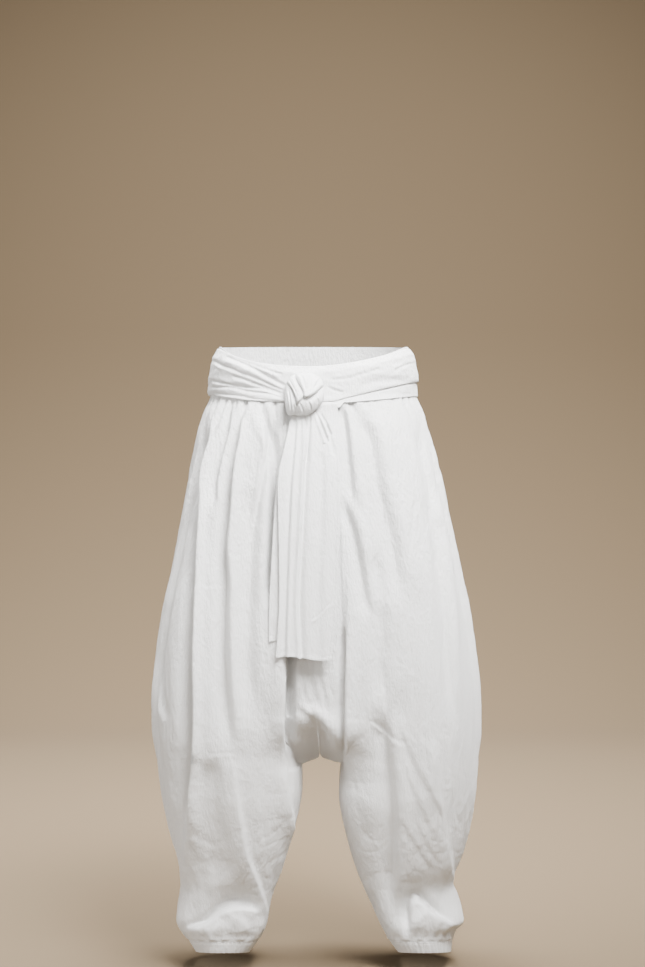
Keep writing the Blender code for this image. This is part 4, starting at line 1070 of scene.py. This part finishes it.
def cuff_grid(side):
    """Outer and inner rings of an ankle band, and the normals of its cloth."""
    row_numbers = np.linspace(HEM_SEAM_ROW, HEM_ROW, CUFF_ROWS)
    shares = np.linspace(0, 1, CUFF_COLUMNS // 2 + 1)
    front = section_grid(side, "front", row_numbers, shares)
    back = section_grid(side, "back", row_numbers, shares)
    ring, normal = rounded_ring(np.hstack((front, back[:, -2:0:-1])))
    if ((ring - ring.mean(axis=(0, 1))) * normal).sum() < 0:
        normal = -normal
    share = np.linspace(0, 1, CUFF_ROWS)[:, None]
    from_middle = np.abs(2 * share - 1)
    angle = np.linspace(0, 2 * pi, ring.shape[1], endpoint=False)[None, :]
    pucker = 0.00045 * np.sin(angle * 41 + 2.0 * np.sin(angle * 5)) + 0.0003 * np.sin(angle * 67)
    pucker = pucker * (0.4 + 0.6 * from_middle) + 0.0005 * noise(ring, (0.02, 0.02, 0.02), 7.0)
    stitched = np.exp(-((share - 0.14) / 0.05) ** 2) + np.exp(-((share - 0.86) / 0.05) ** 2)
    out = 0.0006 + pucker - 0.0005 * stitched - 0.0006 * from_middle ** 8
    ring[0, :, 2] -= 2 * HALF_GAP
    return ring + normal * out[..., None], ring - normal * CLOTH, normal


def stitch_row(points, normals):
    """Small raised threads along a line of points: returns their corners and faces."""
    leg = np.linalg.norm(np.diff(points, axis=0), axis=1)
    run = np.concatenate(([0.0], np.cumsum(leg)))
    corners = []
    faces = []
    at = STITCH_GAP
    while at + STITCH_LENGTH < run[-1]:
        stations = at + STITCH_LENGTH * np.array([0, 0.25, 0.75, 1])
        places, outward = (
            np.column_stack([np.interp(stations, run, values[:, axis]) for axis in range(3)])
            for values in (points, normals)
        )
        along = places[-1] - places[0]
        along /= max(np.linalg.norm(along), 1e-9)
        first = len(corners)
        for place, normal, thin, top in zip(places, outward, (0.5, 1, 1, 0.5), (0.1, 1, 1, 0.1)):
            side = np.cross(along, normal)
            side /= max(np.linalg.norm(side), 1e-9)
            corners.append(place - side * (STITCH_SIZE * thin) - normal * STITCH_ROOT)
            corners.append(place + normal * (STITCH_SIZE * top))
            corners.append(place + side * (STITCH_SIZE * thin) - normal * STITCH_ROOT)
        for low in (first, first + 3, first + 6):
            faces.append((low, low + 1, low + 4, low + 3))
            faces.append((low + 1, low + 2, low + 5, low + 4))
            faces.append((low + 2, low, low + 3, low + 5))
        faces.append((first, first + 2, first + 1))
        faces.append((first + 9, first + 10, first + 11))
        at += STITCH_LENGTH + STITCH_GAP
    return corners, faces


def make_cuff(side, material, thread):
    """An ankle band, and its two rows of stitches as one piece."""
    node = "hem_cuff_" + side
    outer, inner, normal = cuff_grid(side)
    band = add_shell("cuff_" + side, outer, inner, material, node, closed=True)
    corners = []
    faces = []
    for row in STITCH_ROWS:
        line, outward = (np.vstack((ring[row], ring[row][:1])) for ring in (outer, normal))
        more_corners, more_faces = stitch_row(line, outward)
        faces += [tuple(number + len(corners) for number in face) for face in more_faces]
        corners += more_corners
    stitches = make_object("cuff_stitches_" + side, corners, faces, thread)
    return band, join_part(stitches, node)


# Materials
COTTON = (0.745, 0.744, 0.740, 1.0)
SASH_COTTON = (0.745, 0.744, 0.741, 1.0)
THREAD = (0.82, 0.80, 0.77, 1.0)
DARKEST_TONE = 0.955
WEAVE_SCALE = 700.0


def cotton(name, colour, crinkle_depth):
    """Washed cotton lawn: matt with a faint sheen, a fine weave and a crinkled hand."""
    material = bpy.data.materials.new(name)
    material.use_nodes = True
    nodes = material.node_tree.nodes
    links = material.node_tree.links

    def fill(node, inputs):
        """Sets the inputs of a node to values, or links them to sockets."""
        for key, value in inputs.items():
            if isinstance(value, bpy.types.NodeSocket):
                links.new(value, node.inputs[key])
            else:
                node.inputs[key].default_value = value
        return node.outputs

    def noise_node(scale, detail, roughness):
        mapped = fill(nodes.new("ShaderNodeMapping"), {"Scale": scale, "Vector": place})
        inputs = {"Scale": 1.0, "Detail": detail, "Roughness": roughness, "Vector": mapped["Vector"]}
        return fill(nodes.new("ShaderNodeTexNoise"), inputs)["Fac"]

    def threads(direction):
        wave = nodes.new("ShaderNodeTexWave")
        wave.wave_type = "BANDS"
        wave.bands_direction = direction
        return fill(wave, {"Scale": WEAVE_SCALE, "Vector": place})["Fac"]

    def multiply(first, second):
        product = nodes.new("ShaderNodeMath")
        product.operation = "MULTIPLY"
        return fill(product, {0: first, 1: second})["Value"]

    def bump(height, strength, distance, **under):
        inputs = {"Height": height, "Strength": strength, "Distance": distance, **under}
        return fill(nodes.new("ShaderNodeBump"), inputs)["Normal"]

    place = nodes.new("ShaderNodeTexCoord").outputs["Object"]
    mix = nodes.new("ShaderNodeMix")
    mix.data_type = "RGBA"
    fill(mix, {
        "Factor": noise_node((9.0, 9.0, 5.0), 3.0, 0.5),
        "A": tuple(DARKEST_TONE * value for value in colour[:3]) + (1.0,),
        "B": colour,
    })

    # The crinkle is stronger at the waist than at the shins
    parts = fill(nodes.new("ShaderNodeSeparateXYZ"), {"Vector": place})
    down = fill(nodes.new("ShaderNodeMapRange"), {
        "Value": parts["Z"], "From Min": -0.70, "From Max": -0.20, "To Min": 0.50, "To Max": 1.7,
    })
    crinkled = multiply(noise_node((260.0, 260.0, 95.0), 4.0, 0.62), down["Result"])
    normal = bump(crinkled, crinkle_depth, 0.0046)
    normal = bump(noise_node((520.0, 520.0, 300.0), 2.0, 0.5), 0.35, 0.0005, Normal=normal)
    normal = bump(multiply(threads("X"), threads("Z")), 0.25, 0.00012, Normal=normal)
    fill(nodes["Principled BSDF"], {
        "Base Color": mix.outputs["Result"], "Normal": normal, "Roughness": 0.88, "Metallic": 0.0,
        "Sheen Weight": 0.25, "Sheen Roughness": 0.45, "IOR": 1.40,
    })
    return material


def plain(name, colour, roughness):
    material = bpy.data.materials.new(name)
    material.use_nodes = True
    shader = material.node_tree.nodes["Principled BSDF"]
    shader.inputs["Base Color"].default_value = colour
    shader.inputs["Roughness"].default_value = roughness
    return material


# Studio
FLOOR_Z = -0.986
FLOOR_FRONT = -4.5
SWEEP_START = 2.9
SWEEP_RADIUS = 1.4
SWEEP_TOP = 3.2
SWEEP_SIDE = 5.0
BACKDROP = (0.121, 0.086, 0.049, 1.0)

# The lamps, with their spread in degrees and their power in watts
Lamp = namedtuple("Lamp", "name place aim width height spread power colour")
DAYLIGHT = (1.0, 0.995, 0.985)
WARM_LIGHT = (1.0, 0.99, 0.97)
LAMPS = (
    Lamp("key", (0.50, -1.30, 1.25), (0.03, -0.10, 0.05), 0.9, 0.9, 60, 25.5, DAYLIGHT),
    Lamp("key_high", (0.75, -1.05, 1.60), (0.0, 0.0, -0.30), 0.9, 0.7, 180, 95.0, DAYLIGHT),
    Lamp("overhead", (0.0, 0.70, 2.40), (0.0, 1.05, -1.0), 1.8, 0.8, 120, 95.0, WARM_LIGHT),
    Lamp("backdrop", (0.0, 0.60, 3.20), (0.0, 3.00, -0.90), 2.0, 1.0, 100, 290.0, WARM_LIGHT),
    Lamp("left_side", (-2.4, -0.9, 0.2), (0.0, 0.0, -0.40), 1.4, 1.8, 180, 44.0, DAYLIGHT),
    Lamp("front", (-0.2, -3.4, 0.1), (0.0, 0.0, -0.60), 2.4, 1.2, 180, 46.0, (1.0, 0.965, 0.910)),
)
AIR_COLOUR = (1.0, 0.985, 0.965, 1.0)
AIR_STRENGTH = 0.13

# The camera's focal length and the picture's height, both in pixels
FOCAL_LENGTH = 1920.0
PICTURE_HEIGHT = 967.0
SENSOR = 36.0


def make_stage():
    """A floor that curves up into the backdrop."""
    turn = np.linspace(0, pi / 2, 25)
    wall_y = SWEEP_START + SWEEP_RADIUS * np.sin(turn)
    wall_z = FLOOR_Z + SWEEP_RADIUS * (1 - np.cos(turn))
    profile = [(FLOOR_FRONT, FLOOR_Z), *zip(wall_y, wall_z), (SWEEP_START + SWEEP_RADIUS, SWEEP_TOP)]
    points = [(x, y, z) for y, z in profile for x in (-SWEEP_SIDE, SWEEP_SIDE)]
    faces = [(low, low + 1, low + 3, low + 2) for low in range(0, 2 * len(profile) - 2, 2)]
    sweep = make_object("studio_sweep", points, faces, plain("sweep_paper", BACKDROP, 0.95))


def make_lights():
    """The lamps of the table and the light of the room."""
    for lamp in LAMPS:
        light = bpy.data.lights.new(lamp.name, "AREA")
        light.shape = "RECTANGLE"
        light.size = lamp.width
        light.size_y = lamp.height
        light.spread = radians(lamp.spread)
        light.energy = lamp.power
        light.color = lamp.colour
        thing = bpy.data.objects.new(lamp.name, light)
        thing.location = lamp.place
        direction = Vector(lamp.aim) - Vector(lamp.place)
        thing.rotation_euler = direction.to_track_quat("-Z", "Y").to_euler()
        bpy.context.scene.collection.objects.link(thing)
    world = bpy.data.worlds.new("studio_air")
    world.use_nodes = True
    air = world.node_tree.nodes["Background"]
    air.inputs["Color"].default_value = AIR_COLOUR
    air.inputs["Strength"].default_value = AIR_STRENGTH
    bpy.context.scene.world = world


def make_camera():
    camera = bpy.data.cameras.new("photo_camera")
    camera.sensor_width = SENSOR
    camera.lens = FOCAL_LENGTH / PICTURE_HEIGHT * SENSOR
    thing = bpy.data.objects.new("photo_camera", camera)
    thing.location = (EYE_X, -EYE_DISTANCE, EYE_HEIGHT)
    thing.rotation_euler = (radians(90), 0.0, 0.0)
    bpy.context.scene.collection.objects.link(thing)
    bpy.context.scene.camera = thing


legs_cotton = cotton("crinkled_cotton", COTTON, 0.60)
band_cotton = cotton("sash_cotton", SASH_COTTON, 0.45)
thread = plain("white_thread", THREAD, 0.8)

waist = make_waistband(legs_cotton)
for side in ("right", "left"):
    for face in ("front", "back"):
        outer, inner = leg_panel_grid(side, face)
        name = face + "_leg_" + side
        add_shell(name + "_cloth", outer, inner, legs_cotton, name)
cuffs = {side: make_cuff(side, legs_cotton, thread) for side in ("right", "left")}
sash, under_sash = make_sash(band_cotton)
knot = make_knot(band_cotton)
front_tail = make_tail("front", FRONT_TAIL, TAIL_FOLDS, band_cotton, columns=121, rows=321)
back_tail = make_tail("back", BACK_TAIL, (), band_cotton, columns=61, rows=201)

make_stage()
make_lights()
make_camera()
